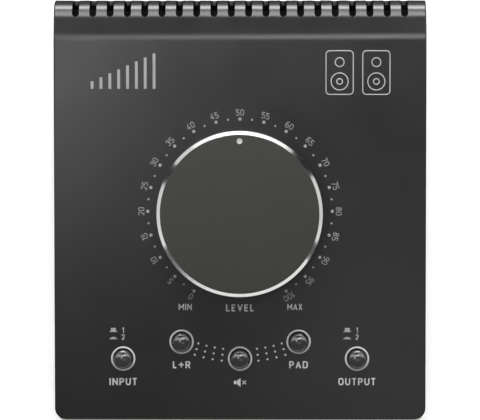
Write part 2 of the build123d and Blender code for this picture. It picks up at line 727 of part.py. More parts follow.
# ---- The whole object ----
def all_parts():
    parts = {
        "top_cover": top_cover(),
        "base_plate": base_plate(),
        "rear_panel": rear_panel(),
        "foot_screws": foot_screws(),
        "base_screws": base_screws(),
        "rear_panel_screws": rear_panel_screws(),
        "control_board": control_board(),
        "board_standoffs": board_standoffs(),
        "board_screws": board_screws(),
        "signal_resistors": signal_resistors(),
        "pot_housing": pot_housing(),
        "pot_bushing": pot_bushing(),
        "pot_shaft": pot_shaft(),
        "pot_wipers": pot_wipers(),
        "pot_tracks": pot_tracks(),
        "pot_washer": pot_washer(),
        "pot_nut": pot_nut(),
        "knob": knob(),
        "knob_index": knob_index(),
        "knob_set_screw": knob_set_screw(),
        "jack_contacts": jack_contacts(),
        "jack_washers": jack_washers(),
        "jack_nuts": jack_nuts(),
        "jack_board": jack_board(),
        "flat_cable": flat_cable(),
        "control_cable_connector": control_cable_connector(),
        "jack_cable_connector": jack_cable_connector(),
    }
    for name, (x, y) in foot_places().items():
        parts[name] = foot(x, y)
    for name, x, z in jack_places():
        parts[name] = jack(x, z)
    for name in BUTTONS:
        x, s = button_place(name)
        parts[f"{name}_button_cap"] = button_cap(x, s)
        parts[f"{name}_plunger"] = button_plunger(x, s)
        parts[f"{name}_switch_housing"] = switch_housing(x, s)
        parts[f"{name}_return_spring"] = return_spring(x, s)
    return parts


def main():
    os.makedirs("parts", exist_ok=True)
    for name, shape in all_parts().items():
        solids = shape if isinstance(shape, list) else [shape]
        children = [solid for part in solids for solid in part.solids()]
        export_step(Compound(children=children), f"parts/{name}.step")
        print(name, len(children))


if __name__ == "__main__":
    main()
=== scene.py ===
"""The looks of a desktop studio monitor controller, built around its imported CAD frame.

Sizes in the classes are millimetres and degrees. Pieces are built in millimetres, and
Workshop.place turns them to metres when it puts them where they belong. Pieces on the sloping
panel are drawn in the panel's own axes: x to the right, s up the slope from the front bend, n
out of the panel.
"""

import json
import logging
import math
from dataclasses import dataclass, replace
from enum import Enum

import bmesh
import bpy
from mathutils import Matrix, Vector

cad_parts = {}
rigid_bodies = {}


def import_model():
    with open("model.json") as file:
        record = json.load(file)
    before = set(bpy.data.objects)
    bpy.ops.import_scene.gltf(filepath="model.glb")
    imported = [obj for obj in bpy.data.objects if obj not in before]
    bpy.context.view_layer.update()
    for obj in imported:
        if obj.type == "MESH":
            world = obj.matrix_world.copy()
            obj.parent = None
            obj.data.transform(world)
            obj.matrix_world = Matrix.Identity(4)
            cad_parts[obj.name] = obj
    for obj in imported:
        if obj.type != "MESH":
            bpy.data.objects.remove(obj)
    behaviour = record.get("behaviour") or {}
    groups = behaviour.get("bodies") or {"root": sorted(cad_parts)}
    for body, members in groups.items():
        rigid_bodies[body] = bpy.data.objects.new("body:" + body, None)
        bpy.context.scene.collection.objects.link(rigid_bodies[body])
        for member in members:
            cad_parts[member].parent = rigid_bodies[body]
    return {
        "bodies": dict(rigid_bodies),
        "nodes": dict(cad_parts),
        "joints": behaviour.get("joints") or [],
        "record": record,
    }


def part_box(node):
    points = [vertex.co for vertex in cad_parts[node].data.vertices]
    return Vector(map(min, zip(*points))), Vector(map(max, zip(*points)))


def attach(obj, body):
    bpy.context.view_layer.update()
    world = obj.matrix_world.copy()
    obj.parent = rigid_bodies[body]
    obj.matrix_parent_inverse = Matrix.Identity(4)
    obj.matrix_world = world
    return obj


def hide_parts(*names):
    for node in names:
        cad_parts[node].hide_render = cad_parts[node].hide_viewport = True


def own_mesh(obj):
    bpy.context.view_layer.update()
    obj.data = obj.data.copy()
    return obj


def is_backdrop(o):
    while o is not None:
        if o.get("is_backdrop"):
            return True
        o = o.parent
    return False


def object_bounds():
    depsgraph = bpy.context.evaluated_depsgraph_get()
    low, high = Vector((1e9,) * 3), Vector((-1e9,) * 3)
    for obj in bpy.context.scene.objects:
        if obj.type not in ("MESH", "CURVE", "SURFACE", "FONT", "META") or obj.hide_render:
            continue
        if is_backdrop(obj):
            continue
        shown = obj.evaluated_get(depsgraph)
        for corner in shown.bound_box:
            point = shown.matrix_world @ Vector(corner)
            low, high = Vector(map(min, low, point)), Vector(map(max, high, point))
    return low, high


LOG = logging.getLogger("controller")
MM = 0.001
UP = Vector((0, 0, 1))
RIGHT = Vector((1, 0, 0))
Point = tuple[float, float]
Value = object  # what a node's property or socket may be given


# ---- Colour, node and object helpers ----
def linear(colour: str) -> tuple[float, float, float, float]:
    """Turn an sRGB hex colour into linear RGBA.

    Args:
        colour: Six hex digits, such as "8a8a88".

    Returns:
        The linear colour, opaque.
    """
    parts = [int(colour[i : i + 2], 16) / 255 for i in (0, 2, 4)]
    red, green, blue = (
        c / 12.92 if c <= 0.04045 else ((c + 0.055) / 1.055) ** 2.4 for c in parts
    )
    return red, green, blue, 1.0


def add_node(
    tree: bpy.types.NodeTree,
    kind: str,
    inputs: dict[str | int, Value] | None = None,
    **settings: Value,
) -> bpy.types.Node:
    """Add a node, set its properties, and fill its inputs.

    Args:
        tree: The node tree that gets the node.
        kind: The node's type, such as "ShaderNodeBump".
        inputs: What its inputs get, by name or index: a value, another node's output, or
            another node, which stands for its first output.
        **settings: The node's properties.

    Returns:
        The new node.
    """
    node = tree.nodes.new(kind)
    for key, value in settings.items():
        setattr(node, key, value)
    for key, value in (inputs or {}).items():
        if isinstance(value, bpy.types.Node):
            value = value.outputs[0]
        if isinstance(value, bpy.types.NodeSocket):
            tree.links.new(value, node.inputs[key])
        else:
            node.inputs[key].default_value = value
    return node


def bare_tree(owner: bpy.types.Material | bpy.types.World) -> bpy.types.NodeTree:
    """Switch on the nodes of a material or world, and empty its tree.

    Args:
        owner: The material or world.

    Returns:
        Its tree, with no nodes.
    """
    owner.use_nodes = True
    owner.node_tree.nodes.clear()
    return owner.node_tree


def add_object(name: str, data: bpy.types.ID) -> bpy.types.Object:
    """Put a mesh, lamp or camera in the scene.

    Args:
        name: The object's name.
        data: The mesh, lamp or camera.

    Returns:
        Its new object.
    """
    made = bpy.data.objects.new(name, data)
    bpy.context.scene.collection.objects.link(made)
    return made


# ---- Finishes ----
@dataclass(frozen=True)
class Finish:
    """A surface: its colour and gloss, and the fine relief that its making leaves."""

    name: str
    colour: str
    roughness: float
    metallic: float = 0.0
    ior: float = 1.5
    coat: float = 0.0
    coat_roughness: float = 0.1
    colour_drift: float = 0.05  # share by which the colour wanders
    roughness_drift: float = 0.02
    drift_size: float = 16.0
    grain_size: float = 0.5
    grain_height: float = 0.001
    grain_stretch: tuple[float, float, float] = (1.0, 1.0, 1.0)

    def material(self) -> bpy.types.Material:
        """Return the finish as a material, made the first time it is asked for."""
        return bpy.data.materials.get(self.name) or self.build()

    def relief(
        self, tree: bpy.types.NodeTree, place: bpy.types.NodeSocket
    ) -> bpy.types.NodeSocket:
        """Return the height pattern of the surface.

        Args:
            tree: The material's node tree.
            place: The object coordinates.

        Returns:
            A height from 0 to 1.
        """
        fill = {"Vector": place, "Scale": self.grain_stretch}
        stretched = add_node(tree, "ShaderNodeMapping", fill)
        scale = 1 / (self.grain_size * MM)
        fill = {"Vector": stretched, "Scale": scale, "Detail": 2.0, "Roughness": 0.5}
        return add_node(tree, "ShaderNodeTexNoise", fill).outputs["Fac"]

    def build(self) -> bpy.types.Material:
        """Build the material's node tree.

        Returns:
            The new material.
        """
        made = bpy.data.materials.new(self.name)
        tree = bare_tree(made)
        place = add_node(tree, "ShaderNodeTexCoord").outputs["Object"]
        fill = {"Vector": place, "Scale": 1 / (self.drift_size * MM), "Detail": 3.0}
        drift = add_node(tree, "ShaderNodeTexNoise", fill).outputs["Fac"]
        base = Vector(linear(self.colour))
        dark, light = base * (1 - self.colour_drift), base * (1 + self.colour_drift)
        dark[3] = light[3] = 1.0
        fill = {0: drift, 6: dark, 7: light}
        colour = add_node(tree, "ShaderNodeMix", fill, data_type="RGBA").outputs[2]
        swing = self.roughness_drift
        fill = {0: drift, 1: 0.3, 2: 0.7, 3: self.roughness - swing, 4: self.roughness + swing}
        roughness = add_node(tree, "ShaderNodeMapRange", fill)
        fill = {
            "Strength": 1.0,
            "Distance": self.grain_height * MM,
            "Height": self.relief(tree, place),
        }
        bump = add_node(tree, "ShaderNodeBump", fill)
        fill = {
            "Base Color": colour,
            "Metallic": self.metallic,
            "Roughness": roughness,
            "IOR": self.ior,
            "Coat Weight": self.coat,
            "Coat Roughness": self.coat_roughness,
            "Normal": bump,
        }
        shader = add_node(tree, "ShaderNodeBsdfPrincipled", fill)
        add_node(tree, "ShaderNodeOutputMaterial", {0: shader})
        return made


@dataclass(frozen=True)
class TurnedFinish(Finish):
    """A finish with the fine rings that a lathe tool leaves round an axis."""

    centre: tuple[float, float, float] = (0.0, 0.0, 0.0)  # a point on the axis
    tilt: float = 0.0  # the axis, leaned towards the front

    def relief(
        self, tree: bpy.types.NodeTree, place: bpy.types.NodeSocket
    ) -> bpy.types.NodeSocket:
        """Return rings round the axis, grain_size apart.

        Args:
            tree: The material's node tree.
            place: The object coordinates.

        Returns:
            A height from 0 to 1.
        """
        fill = {
            "Vector": place,
            "Location": Vector(self.centre) * MM,
            "Rotation": (math.radians(self.tilt), 0, 0),
        }
        centred = add_node(tree, "ShaderNodeMapping", fill, vector_type="TEXTURE")
        fill = {0: centred, 1: (1.0, 1.0, 0.0)}
        flat = add_node(tree, "ShaderNodeVectorMath", fill, operation="MULTIPLY")
        radius = add_node(tree, "ShaderNodeVectorMath", {0: flat}, operation="LENGTH")
        scale = 1 / (self.grain_size * MM)
        fill = {"W": radius.outputs["Value"], "Scale": scale, "Detail": 3.0}
        rings = add_node(tree, "ShaderNodeTexNoise", fill, noise_dimensions="1D")
        return rings.outputs["Fac"]


class Stock(Enum):
    """The finishes that the controller is made of."""

    # Polyester powder coat on steel: satin, with a faint orange peel
    CASE_PAINT = Finish(
        "satin_powder_coat_dark_grey", "171716", 0.24, colour_drift=0.04,
        grain_size=0.55, grain_height=0.0022,
    )
    # Fine-structure powder coat: duller and rougher than the cover's
    PLATE_PAINT = Finish(
        "matt_powder_coat_black", "1d1d1d", 0.55, grain_size=0.35, grain_height=0.006
    )
    # Aluminium, blasted and anodised dark grey: an even, soft metallic face
    ANODISED = Finish(
        "anodised_aluminium_dark_grey", "424240", 0.42, metallic=1.0, colour_drift=0.03,
        grain_size=0.12, grain_height=0.0005,
    )
    # The same metal cut bright after anodising, with the tool's fine rings
    CUT_EDGE = TurnedFinish(
        "diamond_cut_aluminium", "d0d0ce", 0.16, metallic=1.0, colour_drift=0.01,
        grain_size=0.05, grain_height=0.0001,
    )
    # Enamel in the knob's index pocket: light grey, half gloss
    INDEX_FILL = Finish(
        "index_enamel_light_grey", "c4c4c2", 0.35, grain_size=0.2, grain_height=0.001
    )
    # Screen-printed ink: light grey, matt
    INK = Finish(
        "screen_print_ink_light_grey", "cacac8", 0.6, colour_drift=0.03,
        grain_size=0.15, grain_height=0.001,
    )
    # The dial's ink: a darker grey
    DIAL_INK = Finish(
        "screen_print_ink_mid_grey", "a3a3a1", 0.6, colour_drift=0.03,
        grain_size=0.15, grain_height=0.001,
    )
    # Polished ABS under clear lacquer: black and glossy
    CAP = Finish(
        "polished_abs_black", "363635", 0.14, coat=0.8, coat_roughness=0.05,
        colour_drift=0.02, grain_size=1.5, grain_height=0.0006,
    )
    # Moulded rubber: black and matt
    RUBBER = Finish(
        "moulded_rubber_black", "161616", 0.75, grain_size=0.3, grain_height=0.01
    )
    # Steel, chemically blackened: dark, with a soft dull shine
    BLACK_STEEL = Finish(
        "black_oxide_steel", "2b2a29", 0.35, metallic=1.0, grain_size=0.2,
        grain_height=0.002,
    )
    # Steel under bright zinc: pale blue grey, softly shiny
    ZINC = Finish(
        "zinc_plated_steel", "b4b6b8", 0.32, metallic=1.0, grain_size=0.3,
        grain_height=0.002,
    )
    # Nickel over brass: warm, bright and smooth
    NICKEL = Finish(
        "nickel_plated_brass", "c9c3b8", 0.2, metallic=1.0, grain_size=0.4,
        grain_height=0.001,
    )
    # Turned brass: yellow, its tool marks almost too fine to see
    BRASS = Finish(
        "turned_brass", "c9a55c", 0.28, metallic=1.0, grain_size=0.2, grain_height=0.001
    )
    # Drawn steel can, tinned, with faint drawing lines up its sides
    TINNED_CAN = Finish(
        "tinned_steel_can", "aeb0b0", 0.36, metallic=1.0, grain_size=0.6,
        grain_height=0.002, grain_stretch=(1.0, 1.0, 0.1),
    )
    # Drawn spring wire: grey and smooth
    SPRING = Finish(
        "drawn_spring_steel", "9da0a2", 0.3, metallic=1.0, grain_size=0.2,
        grain_height=0.001,
    )
    # Epoxy glass board under green solder mask: the weave shows faintly
    BOARD = Finish(
        "solder_mask_green", "16502c", 0.35, colour_drift=0.15, drift_size=3.0,
        grain_size=0.7, grain_height=0.004,
    )
    # Resistor body dipped in lacquer: pale blue and glossy
    LACQUER = Finish(
        "resistor_lacquer_blue", "5f8fae", 0.3, grain_size=0.5, grain_height=0.004
    )
    # Glass-filled nylon: grey black, spark-eroded mould texture
    NYLON = Finish(
        "moulded_nylon_black", "1b1b1c", 0.5, grain_size=0.25, grain_height=0.005
    )
    # Polyoxymethylene, natural: waxy white
    ACETAL = Finish(
        "moulded_acetal_white", "dedcd3", 0.4, grain_size=0.4, grain_height=0.002
    )
    # Polyester film over flat wires: off-white, faintly ribbed along its length
    FILM = Finish(
        "polyester_film_cable", "d6d6cc", 0.3, grain_size=1.0, grain_height=0.002,
        grain_stretch=(1.0, 0.1, 0.1),
    )

    @property
    def material(self) -> bpy.types.Material:
        """The finish as a Blender material."""
        return self.value.material()


# ---- Shaping helpers ----
class Workshop:
    """Plain operations on meshes that every sub-assembly uses."""

    MERGE = 1e-5  # points nearer than this become one
    ROUND_STEPS = 5  # segments of a rounded corner

    @staticmethod
    def piece(
        name: str, points: list[Vector] | list[tuple], faces: list, edges: list | None = None
    ) -> bpy.types.Object:
        """Make an object from points and faces, with its normals outwards.

        Args:
            name: The object's name.
            points: Places of the corners.
            faces: Corner numbers of each face.
            edges: Corner numbers of loose edges.

        Returns:
            The new object, linked to the scene.
        """
        mesh = bpy.data.meshes.new(name)
        mesh.from_pydata([tuple(p) for p in points], edges or [], faces)
        if faces:
            work = bmesh.new()
            work.from_mesh(mesh)
            bmesh.ops.remove_doubles(work, verts=work.verts, dist=Workshop.MERGE)
            bmesh.ops.recalc_face_normals(work, faces=work.faces)
            work.to_mesh(mesh)
            work.free()
        return add_object(name, mesh)

    @staticmethod
    def settle(piece: bpy.types.Object) -> bpy.types.Object:
        """Turn a piece's modifiers into plain mesh.

        Args:
            piece: The piece with its modifiers.

        Returns:
            The same piece, without them.
        """
        graph = bpy.context.evaluated_depsgraph_get()
        mesh = bpy.data.meshes.new_from_object(piece.evaluated_get(graph))
        piece.modifiers.clear()
        spent, piece.data = piece.data, mesh
        bpy.data.meshes.remove(spent)
        mesh.name = piece.name
        return piece

    @staticmethod
    def discard(*pieces: bpy.types.Object) -> None:
        """Delete tools and templates once they have been used.

        Args:
            *pieces: The objects that go.
        """
        for piece in pieces:
            mesh = piece.data
            bpy.data.objects.remove(piece)
            bpy.data.meshes.remove(mesh)

    @classmethod
    def combine(
        cls, body: bpy.types.Object, tool: bpy.types.Object, operation: str = "DIFFERENCE"
    ) -> None:
        """Cut, join or intersect a body with a tool, and discard the tool.

        Args:
            body: The piece to change.
            tool: The piece that changes it.
            operation: DIFFERENCE, UNION or INTERSECT.
        """
        modifier = body.modifiers.new("combine", "BOOLEAN")
        modifier.operation = operation
        modifier.solver = "EXACT"
        modifier.object = tool
        cls.settle(body)
        cls.discard(tool)

    @staticmethod
    def place(piece: bpy.types.Object, matrix: Matrix) -> None:
        """Turn a piece to metres, and put its mesh where matrix says."""
        piece.data.transform(matrix @ Matrix.Scale(MM, 4))

    @staticmethod
    def shade(piece: bpy.types.Object, angle: float = 32.0) -> bpy.types.Object:
        """Shade a piece smooth, but for its sharp edges.

        Args:
            piece: The piece.
            angle: How far the faces beside a smooth edge may turn, in degrees.

        Returns:
            The same piece.
        """
        mesh = piece.data
        work = bmesh.new()
        work.from_mesh(mesh)
        for face in work.faces:
            face.smooth = True
        for edge in work.edges:
            edge.smooth = edge.calc_face_angle(0.0) < math.radians(angle)
        work.to_mesh(mesh)
        work.free()
        return piece

    @classmethod
    def even(cls, piece: bpy.types.Object) -> None:
        """Let flat faces keep their own normal where they meet small rounded ones.

        Args:
            piece: The piece, already shaded.
        """
        modifier = piece.modifiers.new("even", "WEIGHTED_NORMAL")
        modifier.keep_sharp = True
        modifier.weight = 100
        cls.settle(piece)

    @classmethod
    def rounded(cls, corners: list[tuple[float, float, float]]) -> list[Point]:
        """Round the corners of a line.

        Args:
            corners: Places with the radius of each corner.

        Returns:
            The line's points.
        """
        line: list[Point] = []
        for i, (x, y, radius) in enumerate(corners):
            if not radius or i in (0, len(corners) - 1):
                line.append((x, y))
                continue
            here = Vector((x, y))
            back = (Vector(corners[i - 1][:2]) - here).normalized()
            ahead = (Vector(corners[i + 1][:2]) - here).normalized()
            half = back.angle(ahead) / 2
            centre = here + (back + ahead).normalized() * (radius / math.sin(half))
            start = here + back * (radius / math.tan(half)) - centre
            end = here + ahead * (radius / math.tan(half)) - centre
            turn = start.angle_signed(end)
            for step in range(cls.ROUND_STEPS + 1):
                spoke = start.copy()
                spoke.rotate(Matrix.Rotation(-turn * step / cls.ROUND_STEPS, 2))
                line.append(tuple(centre + spoke))
        return line

    @classmethod
    def lathe(cls, name: str, profile: list[Point], segments: int) -> bpy.types.Object:
        """Turn a profile round the z axis.

        Args:
            name: The piece's name.
            profile: Radius and height of each point. It starts and ends on the axis, or closes
                on itself where it stays clear of the axis.
            segments: Facets round the axis.

        Returns:
            The closed piece.
        """
        points: list[tuple[float, float, float]] = []
        rings: list[list[int]] = []
        for radius, height in profile:
            start = len(points)
            count = segments if radius > cls.MERGE else 1
            for i in range(count):
                turn = math.tau * i / segments
                points.append((radius * math.cos(turn), radius * math.sin(turn), height))
            rings.append([start + i % count for i in range(segments + 1)])
        if profile[0][0] > cls.MERGE:
            rings.append(rings[0])
        faces = []
        for lower, upper in zip(rings, rings[1:]):
            for i in range(segments):
                corners = [lower[i], lower[i + 1], upper[i + 1], upper[i]]
                faces.append(list(dict.fromkeys(corners)))
        faces = [face for face in faces if len(face) > 2]
        return cls.piece(name, points, faces)

    @classmethod
    def prism(
        cls, name: str, outlines: list[list[Point]], low: float, high: float
    ) -> bpy.types.Object:
        """Stand flat outlines up along z.

        Args:
            name: The piece's name.
            outlines: Closed outlines that don't touch.
            low: Height of the bottom.
            high: Height of the top.

        Returns:
            The closed piece.
        """
        points, faces = [], []
        for outline in outlines:
            start, count = len(points), len(outline)
            points += [(x, y, z) for z in (low, high) for x, y in outline]
            faces.append([start + i for i in range(count)])
            faces.append([start + count + i for i in range(count)])
            for i in range(count):
                j = (i + 1) % count
                faces.append([start + i, start + j, start + count + j, start + count + i])
        return cls.piece(name, points, faces)

    @staticmethod
    def rectangle(left: float, low: float, right: float, high: float) -> list[Point]:
        """Return a rectangle's corners in turn."""
        return [(left, low), (right, low), (right, high), (left, high)]

    @staticmethod
    def circle(radius: float, count: int, x: float = 0.0, y: float = 0.0) -> list[Point]:
        """Return points on a circle."""
        turns = [math.tau * i / count for i in range(count)]
        return [(x + radius * math.cos(t), y + radius * math.sin(t)) for t in turns]

    @classmethod
    def hexagon(cls, across_flats: float) -> list[Point]:
        """Return a hexagon's corners, with two flats across the second axis."""
        return cls.circle(across_flats / math.sqrt(3), 6)

    @staticmethod
    def finish(
        piece: bpy.types.Object,
        stock: Stock,
        slot: str,
        body: str = "case",
        nodes: tuple[str, ...] = (),
    ) -> None:
        """Give a finished piece its material and its body, and hide the CAD nodes that it
        replaces.

        Args:
            piece: The piece, in place.
            stock: Its finish.
            slot: The record's material slot; not used.
            body: The CAD body that it moves with.
            nodes: The CAD nodes that it replaces.
        """
        if not piece.data.materials:
            piece.data.materials.append(stock.material)
        elif piece.data.materials[0] is None:
            piece.data.materials[0] = stock.material
        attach(piece, body)
        if nodes:
            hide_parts(*nodes)
        LOG.info("%s: %d faces on %s", piece.name, len(piece.data.polygons), body)


# ---- Geometry node recipes ----
class Recipe:
    """A geometry node tree with named inputs, which turns a host mesh into a plain piece."""

    def __init__(self, name: str, inputs: dict[str, str]) -> None:
        """Start the tree.

        Args:
            name: The tree's name.
            inputs: Kind of each named input, such as "Float".
        """
        self.tree = bpy.data.node_groups.new(name, "GeometryNodeTree")
        face = self.tree.interface
        for label, kind in {"Geometry": "Geometry", **inputs, "Material": "Material"}.items():
            face.new_socket(label, in_out="INPUT", socket_type=f"NodeSocket{kind}")
        face.new_socket("Geometry", in_out="OUTPUT", socket_type="NodeSocketGeometry")
        self.given = add_node(self.tree, "NodeGroupInput").outputs

    def close(self, geometry: bpy.types.Node) -> None:
        """End the tree with real geometry in its material.

        Args:
            geometry: The node whose first output is the result.
        """
        real = add_node(self.tree, "GeometryNodeRealizeInstances", {0: geometry})
        fill = {0: real, "Material": self.given["Material"]}
        dressed = add_node(self.tree, "GeometryNodeSetMaterial", fill)
        add_node(self.tree, "NodeGroupOutput", {0: dressed})

    def run(
        self, host: bpy.types.Object, values: dict[str, Value], stock: Stock
    ) -> bpy.types.Object:
        """Run the tree on a host, which becomes the piece.

        Args:
            host: The object whose mesh goes in.
            values: The named inputs.
            stock: The finish of the result.

        Returns:
            The host, with the tree's result as its mesh.
        """
        modifier = host.modifiers.new(self.tree.name, "NODES")
        modifier.node_group = self.tree
        values = {**values, "Material": stock.material}
        for item in self.tree.interface.items_tree:
            if item.in_out == "INPUT" and item.name in values:
                modifier[item.identifier] = values[item.name]
        return Workshop.settle(host)


class Recipes:
    """The recipes that the controller uses."""

    def __init__(self) -> None:
        """Build every tree once."""
        self.row = self.build_row()
        self.dots = self.build_dots()
        self.pen = self.build_pen()
        self.coil = self.build_coil()
        self.scatter = self.build_scatter()

    @staticmethod
    def build_row() -> Recipe:
        """Repeat the host along x: vent slots.

        Returns:
            The finished tree.
        """
        recipe = Recipe("row", {"Count": "Int", "Pitch": "Float"})
        tree, given = recipe.tree, recipe.given
        index = add_node(tree, "GeometryNodeInputIndex")
        fill = {0: given["Count"], 1: 1.0}
        last = add_node(tree, "ShaderNodeMath", fill, operation="SUBTRACT")
        middle = add_node(tree, "ShaderNodeMath", {0: last, 1: 0.5}, operation="MULTIPLY")
        steps = add_node(tree, "ShaderNodeMath", {0: index, 1: middle}, operation="SUBTRACT")
        fill = {0: steps, 1: given["Pitch"]}
        x = add_node(tree, "ShaderNodeMath", fill, operation="MULTIPLY")
        place = add_node(tree, "ShaderNodeCombineXYZ", {"X": x})
        fill = {"Count": given["Count"], "Position": place}
        points = add_node(tree, "GeometryNodePoints", fill)
        fill = {"Points": points, "Instance": given["Geometry"]}
        recipe.close(add_node(tree, "GeometryNodeInstanceOnPoints", fill))
        return recipe

    @staticmethod
    def build_dots() -> Recipe:
        """Set printed dots on an arc, every second one of another size.

        Returns:
            The finished tree.
        """
        sizes = ("Radius", "First Angle", "Step Angle", "Even Dot", "Odd Dot", "Thickness")
        recipe = Recipe("arc_of_dots", {"Count": "Int", **dict.fromkeys(sizes, "Float")})
        tree, given = recipe.tree, recipe.given
        index = add_node(tree, "GeometryNodeInputIndex")
        fill = {0: index, 1: given["Step Angle"]}
        swept = add_node(tree, "ShaderNodeMath", fill, operation="MULTIPLY")
        fill = {0: given["First Angle"], 1: swept}
        angle = add_node(tree, "ShaderNodeMath", fill, operation="ADD")
        ways = {}
        for axis, operation in (("X", "SINE"), ("Y", "COSINE")):
            share = add_node(tree, "ShaderNodeMath", {0: angle}, operation=operation)
            fill = {0: given["Radius"], 1: share}
            ways[axis] = add_node(tree, "ShaderNodeMath", fill, operation="MULTIPLY")
        place = add_node(tree, "ShaderNodeCombineXYZ", ways)
        fill = {"Count": given["Count"], "Position": place}
        points = add_node(tree, "GeometryNodePoints", fill)
        odd = add_node(tree, "ShaderNodeMath", {0: index, 1: 2.0}, operation="MODULO")
        fill = {0: given["Odd Dot"], 1: given["Even Dot"]}
        change = add_node(tree, "ShaderNodeMath", fill, operation="SUBTRACT")
        change = add_node(tree, "ShaderNodeMath", {0: odd, 1: change}, operation="MULTIPLY")
        fill = {0: given["Even Dot"], 1: change}
        size = add_node(tree, "ShaderNodeMath", fill, operation="ADD")
        scale = add_node(tree, "ShaderNodeCombineXYZ", {"X": size, "Y": size, "Z": 1.0})
        fill = {"Vertices": 28, "Radius": 0.5, "Depth": given["Thickness"]}
        dot = add_node(tree, "GeometryNodeMeshCylinder", fill)
        fill = {"Points": points, "Instance": dot, "Scale": scale}
        recipe.close(add_node(tree, "GeometryNodeInstanceOnPoints", fill))
        return recipe

    @staticmethod
    def build_pen() -> Recipe:
        """Draw the host's edges with a flat pen, rounding corners by the host's attribute.

        Returns:
            The finished tree.
        """
        recipe = Recipe("flat_pen", {"Width": "Float", "Thickness": "Float"})
        tree, given = recipe.tree, recipe.given
        line = add_node(tree, "GeometryNodeMeshToCurve", {0: given["Geometry"]})
        fill = {"Name": "round"}
        radius = add_node(tree, "GeometryNodeInputNamedAttribute", fill, data_type="FLOAT")
        fill = {"Curve": line, "Count": 5, "Radius": radius, "Limit Radius": True}
        soft = add_node(tree, "GeometryNodeFilletCurve", fill, mode="POLY")
        level = add_node(tree, "GeometryNodeSetCurveNormal", {0: soft}, mode="Z_UP")
        fill = {"Width": given["Width"], "Height": given["Thickness"]}
        kind = "GeometryNodeCurvePrimitiveQuadrilateral"
        nib = add_node(tree, kind, fill, mode="RECTANGLE")
        fill = {"Curve": level, "Profile Curve": nib, "Fill Caps": True}
        recipe.close(add_node(tree, "GeometryNodeCurveToMesh", fill))
        return recipe

    @staticmethod
    def build_coil() -> Recipe:
        """Wind a round wire up from the host's place: springs.

        Returns:
            The finished tree.
        """
        sizes = ("Turns", "Radius", "Height", "Wire")
        recipe = Recipe("coil", dict.fromkeys(sizes, "Float"))
        tree, given = recipe.tree, recipe.given
        fill = {
            "Resolution": 28,
            "Rotations": given["Turns"],
            "Start Radius": given["Radius"],
            "End Radius": given["Radius"],
            "Height": given["Height"],
            "Reverse": True,
        }
        path = add_node(tree, "GeometryNodeCurveSpiral", fill)
        fill = {"Resolution": 8, "Radius": given["Wire"]}
        wire = add_node(tree, "GeometryNodeCurvePrimitiveCircle", fill, mode="RADIUS")
        fill = {"Curve": path, "Profile Curve": wire, "Fill Caps": True}
        recipe.close(add_node(tree, "GeometryNodeCurveToMesh", fill))
        return recipe

    @staticmethod
    def build_scatter() -> Recipe:
        """Put a template on each of the host's points, turned by the host's attribute.

        Returns:
            The finished tree.
        """
        recipe = Recipe("scatter", {"Template": "Object"})
        tree, given = recipe.tree, recipe.given
        template = add_node(tree, "GeometryNodeObjectInfo", {"Object": given["Template"]})
        kind = "GeometryNodeInputNamedAttribute"
        turn = add_node(tree, kind, {"Name": "turn"}, data_type="FLOAT_VECTOR")
        fill = {
            "Points": given["Geometry"],
            "Instance": template.outputs["Geometry"],
            "Rotation": turn,
        }
        recipe.close(add_node(tree, "GeometryNodeInstanceOnPoints", fill))
        return recipe

    def spread(
        self,
        name: str,
        template: bpy.types.Object,
        places: list[tuple[float, float, float]],
        tip: float,
        stock: Stock,
    ) -> bpy.types.Object:
        """Copy a template to several places as one piece, and discard the template.

        Args:
            name: The piece's name.
            template: What to copy.
            places: Where the copies stand.
            tip: How far each is turned about the x axis, in degrees.
            stock: Their finish.

        Returns:
            The piece, still in millimetres.
        """
        host = Workshop.piece(name, places, [])
        turns = host.data.attributes.new("turn", "FLOAT_VECTOR", "POINT")
        for entry in turns.data:
            entry.vector = (math.radians(tip), 0, 0)
        self.scatter.run(host, {"Template": template}, stock)
        Workshop.discard(template)
        return host


